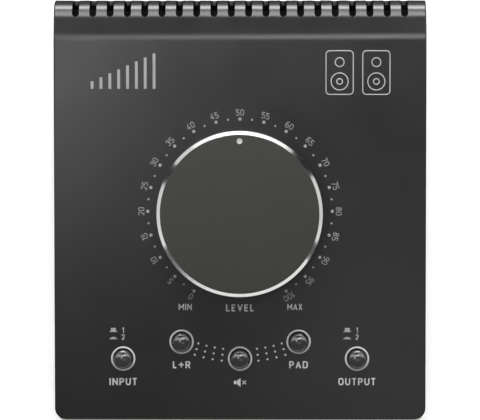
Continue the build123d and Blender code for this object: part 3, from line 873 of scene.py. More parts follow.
# ---- Shape of the case ----
@dataclass(frozen=True)
class CaseShape:
    """The case's outline, which the cover is bent to and everything else sits on."""

    front_y: float
    width: float = 118.0
    slope: float = 12.0
    panel_length: float = 119.8
    front_edge_height: float = 26.0
    crease: float = 14.0
    ledge: float = 4.15
    roll: float = 7.5
    corner: float = 3.6
    edge: float = 0.5
    sheet: float = 1.5
    bottom: float = 3.0
    dial_s: float = 65.9
    least_edge: float = 0.15
    bend_steps: int = 14  # segments round a front corner, and over the crease
    roll_steps: int = 36

    @property
    def along(self) -> Vector:
        """Direction up the slope."""
        tilt = math.radians(self.slope)
        return Vector((0, math.cos(tilt), math.sin(tilt)))

    @property
    def normal(self) -> Vector:
        """Direction out of the panel."""
        tilt = math.radians(self.slope)
        return Vector((0, -math.sin(tilt), math.cos(tilt)))

    @property
    def start(self) -> Vector:
        """Where the flat panel starts, on the middle line."""
        lead = self.edge * (1 + self.normal.y)
        return Vector((0, self.front_y + lead, self.front_edge_height))

    @property
    def ledge_height(self) -> float:
        """Height of the level ledge."""
        rise = self.panel_length * self.along.z
        return self.front_edge_height + rise + self.crease * (1 - self.normal.z)

    @property
    def roll_centre(self) -> Point:
        """The roll's axis, as y and z."""
        end = self.start + self.along * self.panel_length - self.normal * self.crease
        return end.y + self.ledge, self.ledge_height - self.roll

    @property
    def rear_y(self) -> float:
        """The rear wall's outer face."""
        return self.roll_centre[0] + self.roll

    def on_panel(self, x: float, s: float, n: float = 0.0) -> Matrix:
        """Return the matrix that sets a drawing on the panel.

        Args:
            x: Place across.
            s: Place up the slope.
            n: Height above the panel.

        Returns:
            A matrix in metres, for a drawing whose z is the panel's normal.
        """
        place = self.start + RIGHT * x + self.along * s + self.normal * n
        tilt = Matrix.Rotation(math.radians(self.slope), 4, "X")
        return Matrix.Translation(place * MM) @ tilt

    def side_line(self, inset: float) -> list[tuple[Vector, Vector]]:
        """Follow the case's side from the panel's rear end to the foot of the rear wall.

        Args:
            inset: How far inside the outer surface the line runs.

        Returns:
            Places on the middle plane with their outward normals.
        """
        bends, rolls = self.bend_steps, self.roll_steps
        crease_turns = [self.slope * (1 - i / bends) for i in range(bends + 1)]
        roll_turns = [-90 * i / rolls for i in range(rolls + 1)]
        crease_centre = (
            self.start + self.along * self.panel_length - self.normal * self.crease
        )
        roll_centre = Vector((0, *self.roll_centre))
        line = []
        for centre, radius, turns in (
            (crease_centre, self.crease - inset, crease_turns),
            (roll_centre, self.roll - inset, roll_turns),
        ):
            for turn in turns:
                angle = math.radians(turn)
                outward = Vector((0, -math.sin(angle), math.cos(angle)))
                line.append((centre + outward * radius, outward))
        return line

    def section(
        self, edge: Vector, top: Vector, wall: Vector, radius: float, steps: int
    ) -> list[Vector]:
        """Round the edge between the top and a wall.

        Args:
            edge: Where they would meet if the edge were sharp.
            top: Direction inwards along the top.
            wall: Direction down the wall.
            radius: The rounding's radius.
            steps: Segments of the rounding.

        Returns:
            Points from the top to the wall.
        """
        half = top.angle(wall) / 2
        centre = edge + (top + wall).normalized() * (radius / math.sin(half))
        first = edge + top * (radius / math.tan(half)) - centre
        last = edge + wall * (radius / math.tan(half)) - centre
        turn = first.angle(last)
        return [
            centre
            + (first * math.sin(turn * (1 - i / steps)) + last * math.sin(turn * i / steps))
            / math.sin(turn)
            for i in range(steps + 1)
        ]

    def sections(
        self, inset: float, floor: float, steps: int
    ) -> tuple[list[list[Vector]], list[list[Vector]]]:
        """Cut the right half of the case into sections, each from the top to its foot.

        Args:
            inset: How far inside the outer surface they lie.
            floor: Height of their feet.
            steps: Segments of each rounded edge.

        Returns:
            The sections round the front corner, and those along the side to the rear.
        """
        half, corner = self.width / 2 - inset, self.corner - inset
        front = self.front_y + inset
        edge = max(self.edge - inset, self.least_edge)
        grade = math.tan(math.radians(self.slope))
        inner_start = self.start - self.normal * inset
        corners = []
        for i in range(self.bend_steps + 1):
            angle = math.pi / 2 * i / self.bend_steps
            flat = Vector((math.cos(angle), math.sin(angle), 0))
            place = Vector(
                (half - corner + corner * flat.y, front + corner - corner * flat.x, 0)
            )
            place.z = inner_start.z + (place.y - inner_start.y) * grade
            rise = flat.y * grade
            wall = (flat * rise - UP).normalized()
            top = self.normal.cross((flat + UP * rise).normalized())
            foot = Vector((place.x, place.y, floor))
            corners.append([*self.section(place, top, wall, edge, steps), foot])
        sides = [
            self.section(place + RIGHT * half, -RIGHT, -outward, edge, steps)
            for place, outward in self.side_line(inset)
        ]
        sides.append([Vector((p.x, p.y, floor)) for p in sides[-1]])
        return corners, sides

    def solid(self, name: str, inset: float, floor: float, steps: int) -> bpy.types.Object:
        """Build the case as a solid, inset by a sheet's thickness where asked.

        Args:
            name: The piece's name.
            inset: How far inside the outer surface it lies.
            floor: Height of its bottom.
            steps: Segments of each rounded edge.

        Returns:
            A closed piece.
        """
        points: list[Vector] = []

        def store(section: list[Vector]) -> tuple[list[int], list[int]]:
            """Add a section and its mirror image to the points.

            Args:
                section: The right side's points.

            Returns:
                The numbers of the right side's points, and of the left side's.
            """
            start, count = len(points), len(section)
            points.extend(section)
            points.extend(Vector((-p.x, p.y, p.z)) for p in section)
            numbers = list(range(start, start + 2 * count))
            return numbers[:count], numbers[count:]

        corners, sides = self.sections(inset, floor, steps)
        right_corner, left_corner = zip(*[store(section) for section in corners])
        right_side, left_side = zip(*[store(section) for section in sides])
        faces: list[list[int]] = []
        for walls, tops in ((right_corner, right_side), (left_corner, left_side)):
            strips = [*zip(walls, walls[1:]), (walls[-1][:-1], tops[0])]
            strips += zip(tops, tops[1:])
            for one, two in strips:
                for k in range(min(len(one), len(two)) - 1):
                    faces.append([one[k], two[k], two[k + 1], one[k + 1]])
            faces.append([walls[-1][-1], walls[-1][-2], *(row[-1] for row in tops)])
        panel = [row[0] for row in right_corner] + [right_side[0][0]]
        panel += [left_side[0][0]] + [row[0] for row in reversed(left_corner)]
        faces.append(panel)
        for i in range(len(right_side) - 1):
            rows = right_side[i], right_side[i + 1], left_side[i + 1], left_side[i]
            faces.append([row[0] for row in rows])
        right, left = right_corner[0], left_corner[0]
        for k in range(len(right) - 1):
            faces.append([right[k], right[k + 1], left[k + 1], left[k]])
        bottom = [row[-1] for row in right_corner] + list(reversed(right_side[-1]))
        bottom += list(left_side[-1]) + [row[-1] for row in reversed(left_corner)]
        faces.append(bottom)
        return Workshop.piece(name, points, faces)


# ---- Cover ----
@dataclass
class FormedCover:
    """The bent steel cover with its vent slots and its holes."""

    shape: CaseShape
    recipes: Recipes
    slot_count: int = 20
    slot_pitch: float = 5.48
    slot_width: float = 2.23
    slot_front: float = 0.7
    slot_steps: int = 16  # segments round a slot's end
    rear_wall_bottom: float = 34.5
    cap_hole: float = 3.2
    bushing_hole: float = 4.6
    drill_depth: float = 6.0
    flare: float = 0.5
    flare_start: float = 0.1

    def slots(self) -> list[bpy.types.Object]:
        """Make the cutters for the slots.

        Returns:
            One that comes in from above, and one from the rear.
        """
        shape, half = self.shape, self.slot_width / 2
        roll_y, roll_z = shape.roll_centre
        front, low = roll_y + self.slot_front + half, roll_z + half
        back = shape.rear_y + shape.sheet
        arc = [math.pi * i / self.slot_steps for i in range(self.slot_steps + 1)]
        plan = [(half * math.cos(a), front - half * math.sin(a)) for a in arc]
        plan += [(-half, back), (half, back)]
        over = Workshop.prism("slot_over", [plan], low, roll_z + 2 * shape.roll)
        face = [(half * math.cos(a), low - half * math.sin(a)) for a in arc]
        face += [(-half, low + half), (half, low + half)]
        through = Workshop.prism("slot_through", [face], -back, -front)
        through.data.transform(Matrix.Rotation(math.radians(90), 4, "X"))
        values = {"Count": self.slot_count, "Pitch": self.slot_pitch}
        return [self.recipes.row.run(t, values, Stock.CASE_PAINT) for t in (over, through)]

    def build(self, holes: list[tuple[float, float, float]]) -> None:
        """Build the cover.

        Args:
            holes: Place across, place up the slope and radius of each round hole.
        """
        shape = self.shape
        cover = shape.solid("formed_cover", 0.0, shape.bottom, 6)
        inner = shape.solid("inner", shape.sheet, shape.bottom - shape.sheet, 3)
        Workshop.combine(cover, inner)
        inside = shape.width / 2 - shape.sheet
        rear, sheet = shape.rear_y, shape.sheet
        plan = Workshop.rectangle(-inside, rear - 2 * sheet, inside, rear + sheet)
        window = Workshop.prism("window", [plan], 0.0, self.rear_wall_bottom)
        Workshop.combine(cover, window)
        for x, s, radius in holes:
            line = [(0, -self.drill_depth), (radius, -self.drill_depth)]
            line += [(radius, -self.flare_start), (radius + self.flare, self.flare)]
            drill = Workshop.lathe("drill", [*line, (0, self.flare)], 72)
            stand = shape.on_panel(x, s)
            drill.data.transform(
                Matrix.Translation(stand.translation / MM) @ stand.to_3x3().to_4x4()
            )
            Workshop.combine(cover, drill)
        for cutter in self.slots():
            Workshop.combine(cover, cutter)
        cover.data.materials.clear()
        Workshop.shade(cover, 24.0)
        Workshop.place(cover, Matrix.Identity(4))
        Workshop.even(cover)
        Workshop.finish(cover, Stock.CASE_PAINT, "case_paint", nodes=("top_cover",))


# ---- Printing ----
@dataclass(frozen=True)
class Stroke:
    """One stroke of a glyph, on a grid from 0 to 1 each way."""

    points: tuple[Point, ...]
    closed: bool = False
    soft: bool = False


OVER = 0.09  # how far an upright stroke passes a level one's middle
STEM = Stroke(((0, -OVER), (0, 1 + OVER)))


class Glyph(Enum):
    """Stroke lettering: each glyph's width as a share of its height, and its strokes."""

    ZERO = "0", 0.58, (Stroke(((0, 0), (1, 0), (1, 1), (0, 1)), True, True),)
    ONE = "1", 0.42, (Stroke(((0.8, -OVER), (0.8, 1 + OVER))), Stroke(((0, 0.74), (0.8, 1))))
    TWO = "2", 0.58, (
        Stroke(((0, 0.74), (0, 1), (1, 1), (1, 0.58), (0, 0)), soft=True),
        Stroke(((-OVER, 0), (1, 0))),
    )
    THREE = "3", 0.58, (
        Stroke(((0, 0.8), (0, 1), (1, 1), (1, 0.54), (0.3, 0.54)), soft=True),
        Stroke(((0.3, 0.54), (1, 0.54), (1, 0), (0, 0), (0, 0.2)), soft=True),
    )
    FOUR = "4", 0.6, (
        Stroke(((0.66, 1), (0, 0.26))),
        Stroke(((-OVER, 0.26), (1, 0.26))),
        Stroke(((0.72, 0.52), (0.72, -OVER))),
    )
    FIVE = "5", 0.58, (
        Stroke(((0.95, 1), (0, 1))),
        Stroke(((0.04, 1 + OVER), (0.04, 0.5))),
        Stroke(((0.04, 0.57), (1, 0.57), (1, 0), (0, 0), (0, 0.18)), soft=True),
    )
    SIX = "6", 0.58, (
        Stroke(((0, 0), (1, 0), (1, 0.58), (0, 0.58)), True, True),
        Stroke(((0, 0.34), (0, 1), (0.92, 1)), soft=True),
    )
    SEVEN = "7", 0.56, (Stroke(((0, 1), (1 + OVER, 1))), Stroke(((1, 1), (0.34, -OVER))))
    EIGHT = "8", 0.58, (
        Stroke(((0.05, 0.53), (0.95, 0.53), (0.95, 1), (0.05, 1)), True, True),
        Stroke(((0, 0), (1, 0), (1, 0.53), (0, 0.53)), True, True),
    )
    NINE = "9", 0.58, (
        Stroke(((0, 0.42), (1, 0.42), (1, 1), (0, 1)), True, True),
        Stroke(((1, 0.66), (1, 0), (0.08, 0)), soft=True),
    )
    A = "A", 0.68, (
        Stroke(((0, -OVER), (0.5, 1))),
        Stroke(((1, -OVER), (0.5, 1))),
        Stroke(((0.16, 0.28), (0.84, 0.28))),
    )
    D = "D", 0.62, (STEM, Stroke(((0, 1), (1, 1), (1, 0), (0, 0)), soft=True))
    E = "E", 0.52, (
        STEM,
        Stroke(((0, 1), (1, 1))),
        Stroke(((0, 0.52), (0.9, 0.52))),
        Stroke(((0, 0), (1, 0))),
    )
    I = "I", 0.17, (STEM,)
    L = "L", 0.5, (STEM, Stroke(((0, 0), (1, 0))))
    M = "M", 0.8, (
        STEM,
        Stroke(((1, -OVER), (1, 1 + OVER))),
        Stroke(((0, 1), (0.5, 0.3))),
        Stroke(((1, 1), (0.5, 0.3))),
    )
    N = "N", 0.66, (STEM, Stroke(((1, -OVER), (1, 1 + OVER))), Stroke(((0, 1), (1, 0))))
    O = "O", 0.64, (Stroke(((0, 0), (1, 0), (1, 1), (0, 1)), True, True),)
    P = "P", 0.58, (STEM, Stroke(((0, 1), (1, 1), (1, 0.44), (0, 0.44)), soft=True))
    R = "R", 0.6, (
        STEM,
        Stroke(((0, 1), (1, 1), (1, 0.46), (0, 0.46)), soft=True),
        Stroke(((0.5, 0.46), (1, -OVER))),
    )
    T = "T", 0.56, (Stroke(((0.5, -OVER), (0.5, 1))), Stroke(((-OVER, 1), (1 + OVER, 1))))
    U = "U", 0.62, (Stroke(((0, 1 + OVER), (0, 0), (1, 0), (1, 1 + OVER)), soft=True),)
    V = "V", 0.66, (Stroke(((0, 1 + OVER), (0.5, 0))), Stroke(((1, 1 + OVER), (0.5, 0))))
    X = "X", 0.64, (Stroke(((0, -OVER), (1, 1 + OVER))), Stroke(((0, 1 + OVER), (1, -OVER))))
    PLUS = "+", 0.66, (
        Stroke(((-OVER, 0.5), (1 + OVER, 0.5))),
        Stroke(((0.5, 0.06), (0.5, 0.94))),
    )

    def __init__(self, sign: str, width: float, strokes: tuple[Stroke, ...]) -> None:
        """Keep what each member is given.

        Args:
            sign: The sign that it writes.
            width: Its width, as a share of its height.
            strokes: Its strokes.
        """
        self.sign = sign
        self.width = width
        self.strokes = strokes

    @classmethod
    def of(cls, sign: str) -> "Glyph":
        """Return the glyph of a sign."""
        return next(glyph for glyph in cls if glyph.sign == sign)


class Drawing:
    """Lines that one flat pen draws in ink, in the axes of the sheet that they lie on."""

    LIFT = 0.0012  # how much higher each stroke lies, so that crossing ones share no plane
    LIFTS = 5  # heights that the strokes take in turn
    SPACE = 0.3  # width of a space, as a share of the height
    SOFT = 0.24  # radius of a soft corner, as a share of the height

    def __init__(self, name: str, width: float, thickness: float = 0.04) -> None:
        """Start a drawing.

        Args:
            name: The name of the piece that it becomes.
            width: The pen's width.
            thickness: The ink's thickness, a third of it sunk in the sheet.
        """
        self.name = name
        self.width = width
        self.thickness = thickness
        self.points: list[tuple[float, float, float]] = []
        self.edges: list[tuple[int, int]] = []
        self.radii: list[float] = []
        self.lines = 0

    def line(self, points: list[Point], closed: bool = False, radius: float = 0.0) -> None:
        """Add a line.

        Args:
            points: Its corners.
            closed: Whether it comes back to its start.
            radius: How round its corners are.
        """
        start, count = len(self.points), len(points)
        lift = self.LIFT * (self.lines % self.LIFTS)
        self.lines += 1
        self.points += [(x, y, lift) for x, y in points]
        self.radii += [radius] * count
        self.edges += [(start + i, start + i + 1) for i in range(count - 1)]
        if closed:
            self.edges.append((start + count - 1, start))

    def ring(self, x: float, y: float, radius: float) -> None:
        """Add a circle."""
        self.line(Workshop.circle(radius, 96, x, y), closed=True)

    def words(
        self,
        text: str,
        x: float,
        y: float,
        height: float,
        turn: float = 0.0,
        gap: float = 0.17,
        wide: float = 1.0,
    ) -> None:
        """Write words about a middle point.

        Args:
            text: What to write.
            x: Middle of the words.
            y: Middle of their height.
            height: Height of the letters.
            turn: Angle of the whole, clockwise in degrees, about the drawing's origin.
            gap: Space between letters, as a share of the height.
            wide: How much wider than usual the letters are.
        """
        glyphs = [Glyph.of(sign) if sign != " " else None for sign in text]
        shares = [glyph.width if glyph else self.SPACE for glyph in glyphs]
        widths = [share * height * wide for share in shares]
        total = sum(widths) + gap * height * (len(glyphs) - 1)
        left, pen = x - total / 2, self.width
        spin = Matrix.Rotation(-math.radians(turn), 2)
        for glyph, width in zip(glyphs, widths):
            for stroke in glyph.strokes if glyph else ():
                spots = []
                for u, v in stroke.points:
                    across = left + pen / 2 + u * max(width - pen, 0.0)
                    up = y - height / 2 + pen / 2 + v * (height - pen)
                    spots.append(tuple(spin @ Vector((across, up))))
                radius = self.SOFT * height if stroke.soft else 0.0
                self.line(spots, stroke.closed, radius)
            left += width + gap * height

    def ink(self, recipes: Recipes) -> bpy.types.Object:
        """Draw the lines in ink.

        Args:
            recipes: The node recipes, for the flat pen.

        Returns:
            The piece, in millimetres, on the sheet's plane.
        """
        host = Workshop.piece(self.name, self.points, [], self.edges)
        rounding = host.data.attributes.new("round", "FLOAT", "POINT")
        rounding.data.foreach_set("value", self.radii)
        values = {"Width": self.width, "Thickness": self.thickness}
        made = recipes.pen.run(host, values, Stock.INK)
        made.data.transform(Matrix.Translation((0, 0, self.thickness / 6)))
        return made


@dataclass
class PanelPrint:
    """Everything printed on the sloping panel, drawn about the dial's centre."""

    shape: CaseShape
    recipes: Recipes
    buttons: dict[str, Point]
    dot_circle: float = 29.25
    sweep: float = 150.0
    dot_step: float = 7.5
    big_dot: float = 1.02
    small_dot: float = 0.64
    ink: float = 0.04
    numeral_circle: float = 31.3
    numeral_height: float = 1.94
    ring_inner: float = 3.26
    ring_outer: float = 3.87
    accent_dot: float = 0.63
    accent_circles: tuple[float, ...] = (44.1, 46.0, 47.9)
    accent_start: float = 7.0
    accent_step: float = 3.5
    accent_count: int = 4
    legend_drop: float = 7.35
    legend_height: float = 2.32
    bar_count: int = 8
    bar_width: float = 0.9
    bar_pitch: float = 2.8
    bar_rise: float = 1.25
    first_bar: tuple[float, float, float] = (-47.2, 38.8, 41.2)  # left, bottom and top
    speaker_box: tuple[float, float, float, float] = (27.2, 37.0, 35.8, 50.8)
    speaker_pitch: float = 11.6
    speaker_rings: tuple[Point, ...] = ((41.1, 2.7), (41.1, 0.9), (47.2, 1.4))

    def lay(self, piece: bpy.types.Object, stock: Stock = Stock.INK) -> None:
        """Set a drawing on the panel, about the dial's centre.

        Args:
            piece: The drawing.
            stock: Its ink.
        """
        Workshop.place(piece, self.shape.on_panel(0, self.shape.dial_s))
        piece.data.materials.clear()
        Workshop.finish(piece, stock, "index_fill")

    def arc(
        self,
        name: str,
        radius: float,
        first: float,
        step: float,
        count: int,
        even: float,
        odd: float,
    ) -> bpy.types.Object:
        """Print an arc of dots about the dial's centre.

        Args:
            name: The piece's name.
            radius: The arc's radius.
            first: Angle of the first dot, clockwise from the top.
            step: Angle from each dot to the next.
            count: How many dots there are.
            even: Size of the first dot and every second one after it.
            odd: Size of the others.

        Returns:
            The dots, in millimetres, on the sheet's plane.
        """
        host = Workshop.piece(name, [], [])
        values = {
            "Count": count,
            "Radius": radius,
            "First Angle": math.radians(first),
            "Step Angle": math.radians(step),
            "Even Dot": even,
            "Odd Dot": odd,
            "Thickness": self.ink,
        }
        return self.recipes.dots.run(host, values, Stock.INK)

    def dial(self) -> None:
        """Print the dial's dots and numbers."""
        first, step = -self.sweep, self.dot_step
        count = round(2 * self.sweep / step) + 1
        sizes = self.big_dot, self.small_dot
        dots = self.arc("dial_dots", self.dot_circle, first, step, count, *sizes)
        self.lay(dots, Stock.DIAL_INK)
        numerals = Drawing("dial_numerals", 0.2)
        for value in range(0, 101, 5):
            turn = self.sweep * (value - 50) / 50
            numerals.words(
                str(value), 0, self.numeral_circle, self.numeral_height, turn, gap=0.15
            )
        self.lay(numerals.ink(self.recipes), Stock.DIAL_INK)

    def rings(self) -> None:
        """Print a ring round each button."""
        width = self.ring_outer - self.ring_inner
        rings = Drawing("button_rings", width)
        for x, y in self.buttons.values():
            rings.ring(x, y, (self.ring_outer + self.ring_inner) / 2)
        self.lay(rings.ink(self.recipes))

    def accents(self) -> None:
        """Print the little dots between the inner buttons."""
        rows, dot = [], self.accent_dot
        for side in (-1, 1):
            first, step = 180 - side * self.accent_start, -side * self.accent_step
            for radius in self.accent_circles:
                rows.append(self.arc("row", radius, first, step, self.accent_count, dot, dot))
        joined = bmesh.new()
        for row in rows:
            joined.from_mesh(row.data)
        accents = Workshop.piece("accent_dots", [], [])
        joined.to_mesh(accents.data)
        joined.free()
        Workshop.discard(*rows)
        self.lay(accents)

    def legends(self) -> None:
        """Write the words under the knob and the buttons."""
        bold = Drawing("button_legends", 0.43)
        bold.words("LEVEL", 0, -30.7, 2.3, gap=0.2, wide=1.15)
        words = {"source": "INPUT", "mono": "L+R", "dim": "PAD", "monitor": "OUTPUT"}
        for name, word in words.items():
            x, y = self.buttons[name]
            y -= self.legend_drop
            bold.words(word, x, y, self.legend_height, gap=0.2, wide=1.15)
        self.lay(bold.ink(self.recipes))
        ends = Drawing("end_legends", 0.31)
        ends.words("MIN", -17.4, -30.4, 1.95, wide=1.1)
        ends.words("MAX", 17.4, -30.4, 1.95)
        self.lay(ends.ink(self.recipes))
        fine = Drawing("small_legends", 0.3)
        for name in ("source", "monitor"):
            x, y = self.buttons[name]
            fine.words("1", x, y + 9.1, 1.8)
            fine.words("2", x, y + 6.9, 1.8)
        self.lay(fine.ink(self.recipes), Stock.DIAL_INK)

    def signs(self) -> None:
        """Print the push signs, the level bars, the muted speaker and the loudspeakers."""
        low, high = -self.ink / 3, self.ink * 2 / 3
        flats: list[list[Point]] = []
        for name in ("source", "monitor"):
            x, y = self.buttons[name]
            flats.append(self.button_sign(x - 3.1, y + 8.5, 1.3))
            flats.append(self.button_sign(x - 3.1, y + 6.2, 0.7))
        left, bottom, top = self.first_bar
        for i in range(self.bar_count):
            start, end = left + i * self.bar_pitch, top + i * self.bar_rise
            flats.append(Workshop.rectangle(start, bottom, start + self.bar_width, end))
        self.lay(Workshop.prism("solid_signs", flats, low, high), Stock.DIAL_INK)
        x, y = self.buttons["mute"]
        y -= 7.6
        magnet = Workshop.rectangle(x - 1.95, y - 0.55, x - 1.15, y + 0.55)
        cone = [(-0.98, -0.55), (0.15, -1.45), (0.15, 1.45), (-0.98, 0.55)]
        cone = [(x + across, y + up) for across, up in cone]
        self.lay(Workshop.prism("mute_sign", [magnet, cone], low, high))
        thin = Drawing("line_signs", 0.27)
        for slant in (-0.62, 0.62):
            thin.line([(x + 0.7, y - slant), (x + 1.94, y + slant)])
        left, bottom, right, top = self.speaker_box
        for shift in (0, self.speaker_pitch):
            box = Workshop.rectangle(left + shift, bottom, right + shift, top)
            thin.line(box, closed=True, radius=1.2)
            for height, radius in self.speaker_rings:
                thin.ring((left + right) / 2 + shift, height, radius)
        self.lay(thin.ink(self.recipes))

    @staticmethod
    def button_sign(x: float, y: float, height: float) -> list[Point]:
        """Draw a push button from the side: a hat when it is out, a low rise when it is in.

        Args:
            x: Its middle.
            y: Its foot.
            height: How far it stands out.

        Returns:
            Its outline.
        """
        foot, rise = 1.25, 0.24
        shoulder, top = (0.82, 0.78) if height > 1.0 else (0.9, 0.6)
        half = [(foot, 0.0), (foot, rise), (shoulder, rise), (top, height)]
        right = [(x + across, y + up) for across, up in half]
        return right + [(2 * x - across, up) for across, up in reversed(right)]

    def build(self) -> None:
        """Print the whole panel."""
        self.dial()
        self.rings()
        self.accents()
        self.legends()
        self.signs()


@dataclass
class RearPrint:
    """The words beside the sockets."""

    recipes: Recipes
    face_y: float
    columns: tuple[float, ...]
    rows: Point  # heights of the lower and the upper row
    height: float = 1.7
    beside: float = 8.6

    def build(self) -> None:
        """Write each column's name over it, and its side beside it."""
        drawing = Drawing("rear_legends", 0.26)
        words = ("INPUT 1", "INPUT 2", "OUTPUT 1", "OUTPUT 2")
        lower, upper = self.rows
        for word, x in zip(words, self.columns):
            drawing.words(word, -x, (upper + lower) / 2, self.height)
            drawing.words("L", -x - self.beside, upper, self.height)
            drawing.words("R", -x - self.beside, lower, self.height)
        piece = drawing.ink(self.recipes)
        stand = Matrix(((-1, 0, 0, 0), (0, 0, 1, 0), (0, 1, 0, 0), (0, 0, 0, 1)))
        shift = Matrix.Translation((0, self.face_y * MM, 0))
        Workshop.place(piece, shift @ stand)
        Workshop.finish(piece, Stock.INK, "index_fill")


# ---- Volume knob ----
@dataclass
class VolumeKnob:
    """The turned knob with its bright chamfer and its index."""

    shape: CaseShape
    radius: float = 25.9
    top: float = 16.6
    skirt: float = 1.3
    chamfer: float = 1.07
    wall: float = 3.4
    ceiling: float = 12.6
    hub_radius: float = 7.0
    hub_bottom: float = 7.0
    shaft_radius: float = 3.0
    bore_top: float = 14.0
    index_radius: float = 0.92
    index_depth: float = 0.3
    index_distance: float = 22.8
    index_gap: float = 0.03
    index_dip: float = 0.16
    index_rings: int = 6
    key_radius: float = 1.5
    key_height: float = 9.9

    def turned(self) -> bpy.types.Object:
        """Turn the knob, and cut its index pocket and its key hole.

        Returns:
            The knob, in millimetres, its axis along z.
        """
        inner = self.radius - self.wall
        corners = [
            (0, self.top, 0),
            (self.radius - self.chamfer, self.top, 0.05),
            (self.radius, self.top - self.chamfer, 0.08),
            (self.radius, self.skirt, 0.35),
            (inner, self.skirt, 0.25),
            (inner, self.ceiling, 0.8),
            (self.hub_radius, self.ceiling, 0.8),
            (self.hub_radius, self.hub_bottom, 0.4),
            (self.shaft_radius, self.hub_bottom, 0.3),
            (self.shaft_radius, self.bore_top, 0),
            (0, self.bore_top, 0),
        ]
        knob = Workshop.lathe("turned_knob", Workshop.rounded(corners), 256)
        floor, above = -self.index_depth, 0.2
        hole = [(0, floor), (self.index_radius, floor)]
        hole += [(self.index_radius, above), (0, above)]
        pocket = Workshop.lathe("pocket", hole, 48)
        pocket.data.transform(Matrix.Translation((0, self.index_distance, self.top)))
        Workshop.combine(knob, pocket)
        reach = self.radius + 1
        hole = [(0, 0), (self.key_radius, 0), (self.key_radius, reach), (0, reach)]
        key = Workshop.lathe("key", hole, 40)
        key.data.transform(
            Matrix.Translation((0, 0, self.key_height)) @ Matrix.Rotation(-math.pi / 2, 4, "X")
        )
        Workshop.combine(knob, key)
        return Workshop.shade(knob, 28.0)

    def dress(self, knob: bpy.types.Object, stand: Matrix) -> None:
        """Give the knob its two finishes, the bright one on the chamfer.

        Args:
            knob: The knob, its axis still along z.
            stand: Where it will stand, which the rings of its bright cut run round.
        """
        axis = tuple(stand.translation / MM)
        cut = replace(Stock.CUT_EDGE.value, centre=axis, tilt=self.shape.slope)
        knob.data.materials.clear()
        knob.data.materials.append(Stock.ANODISED.material)
        knob.data.materials.append(cut.material())
        inner, low = self.radius - self.chamfer, self.top - self.chamfer
        for face in knob.data.polygons:
            x, y, z = face.center
            face.material_index = int(z > low and math.hypot(x, y) > inner)

    def inlay(self) -> bpy.types.Object:
        """Fill the index pocket, with a surface that sinks slightly towards its middle.

        Returns:
            The index, in millimetres, its axis along z.
        """
        gap, dip, rings = self.index_gap, self.index_dip, self.index_rings
        rim, floor = self.index_radius - gap, self.top - self.index_depth
        dish = [(0, floor), (rim, floor)]
        for t in range(rings + 1):
            share = 1 - t / rings
            dish.append((rim * share, self.top - gap - dip * (1 - share**2)))
        return Workshop.shade(Workshop.lathe("index_fill", dish, 48))

    def build(self) -> None:
        """Make the knob and its index, and set them on the panel."""
        stand = self.shape.on_panel(0, self.shape.dial_s)
        knob = self.turned()
        self.dress(knob, stand)
        Workshop.place(knob, stand)
        Workshop.even(knob)
        Workshop.finish(
            knob, Stock.ANODISED, "anodised_aluminium", "volume_knob", ("knob",)
        )
        index = self.inlay()
        Workshop.place(index, self.shape.on_panel(0, self.shape.dial_s + self.index_distance))
        Workshop.finish(
            index, Stock.INDEX_FILL, "index_fill", "volume_knob", ("knob_index",)
        )


# ---- Push buttons ----
@dataclass
class PushButtons:
    """Five glossy caps."""

    shape: CaseShape
    buttons: dict[str, Point]
    radius: float = 2.9
    top: float = 3.9
    crown: float = 0.4
    edge: float = 0.8
    skirt: float = 4.6
    crown_steps: int = 14
    edge_steps: int = 10

    def profile(self) -> list[Point]:
        """Draw the cap's crown, its rounded rim and its straight skirt.

        Returns:
            Radius and height of each point, from the top.
        """
        flat, shoulder = self.radius - self.edge, self.top - self.crown
        sphere = (flat**2 + self.crown**2) / (2 * self.crown)
        lean = math.asin(flat / sphere)
        crown = [
            (sphere * math.sin(a), self.top - sphere * (1 - math.cos(a)))
            for a in (lean * i / self.crown_steps for i in range(self.crown_steps + 1))
        ]
        turns = [i / self.edge_steps for i in range(self.edge_steps + 1)]
        rim = [
            (flat + self.edge * math.sin(a), shoulder - self.edge * (1 - math.cos(a)))
            for a in (lean + (math.pi / 2 - lean) * turn for turn in turns)
        ]
        shift = crown[-1][0] - rim[0][0], crown[-1][1] - rim[0][1]
        rim = [(r + shift[0], h + shift[1]) for r, h in rim]
        widen = self.radius / rim[-1][0]
        top = [(r * widen, h) for r, h in [*crown, *rim[1:]]]
        return [*top, (self.radius, -self.skirt), (0, -self.skirt)]

    def build(self) -> None:
        """Mould a cap for each button."""
        for name, (x, y) in self.buttons.items():
            cap = Workshop.lathe(f"{name}_cap", self.profile(), 96)
            Workshop.shade(cap, 40.0)
            Workshop.place(cap, self.shape.on_panel(x, self.shape.dial_s + y))
            Workshop.finish(
                cap, Stock.CAP, "cap_plastic", f"{name}_button", (f"{name}_button_cap",)
            )


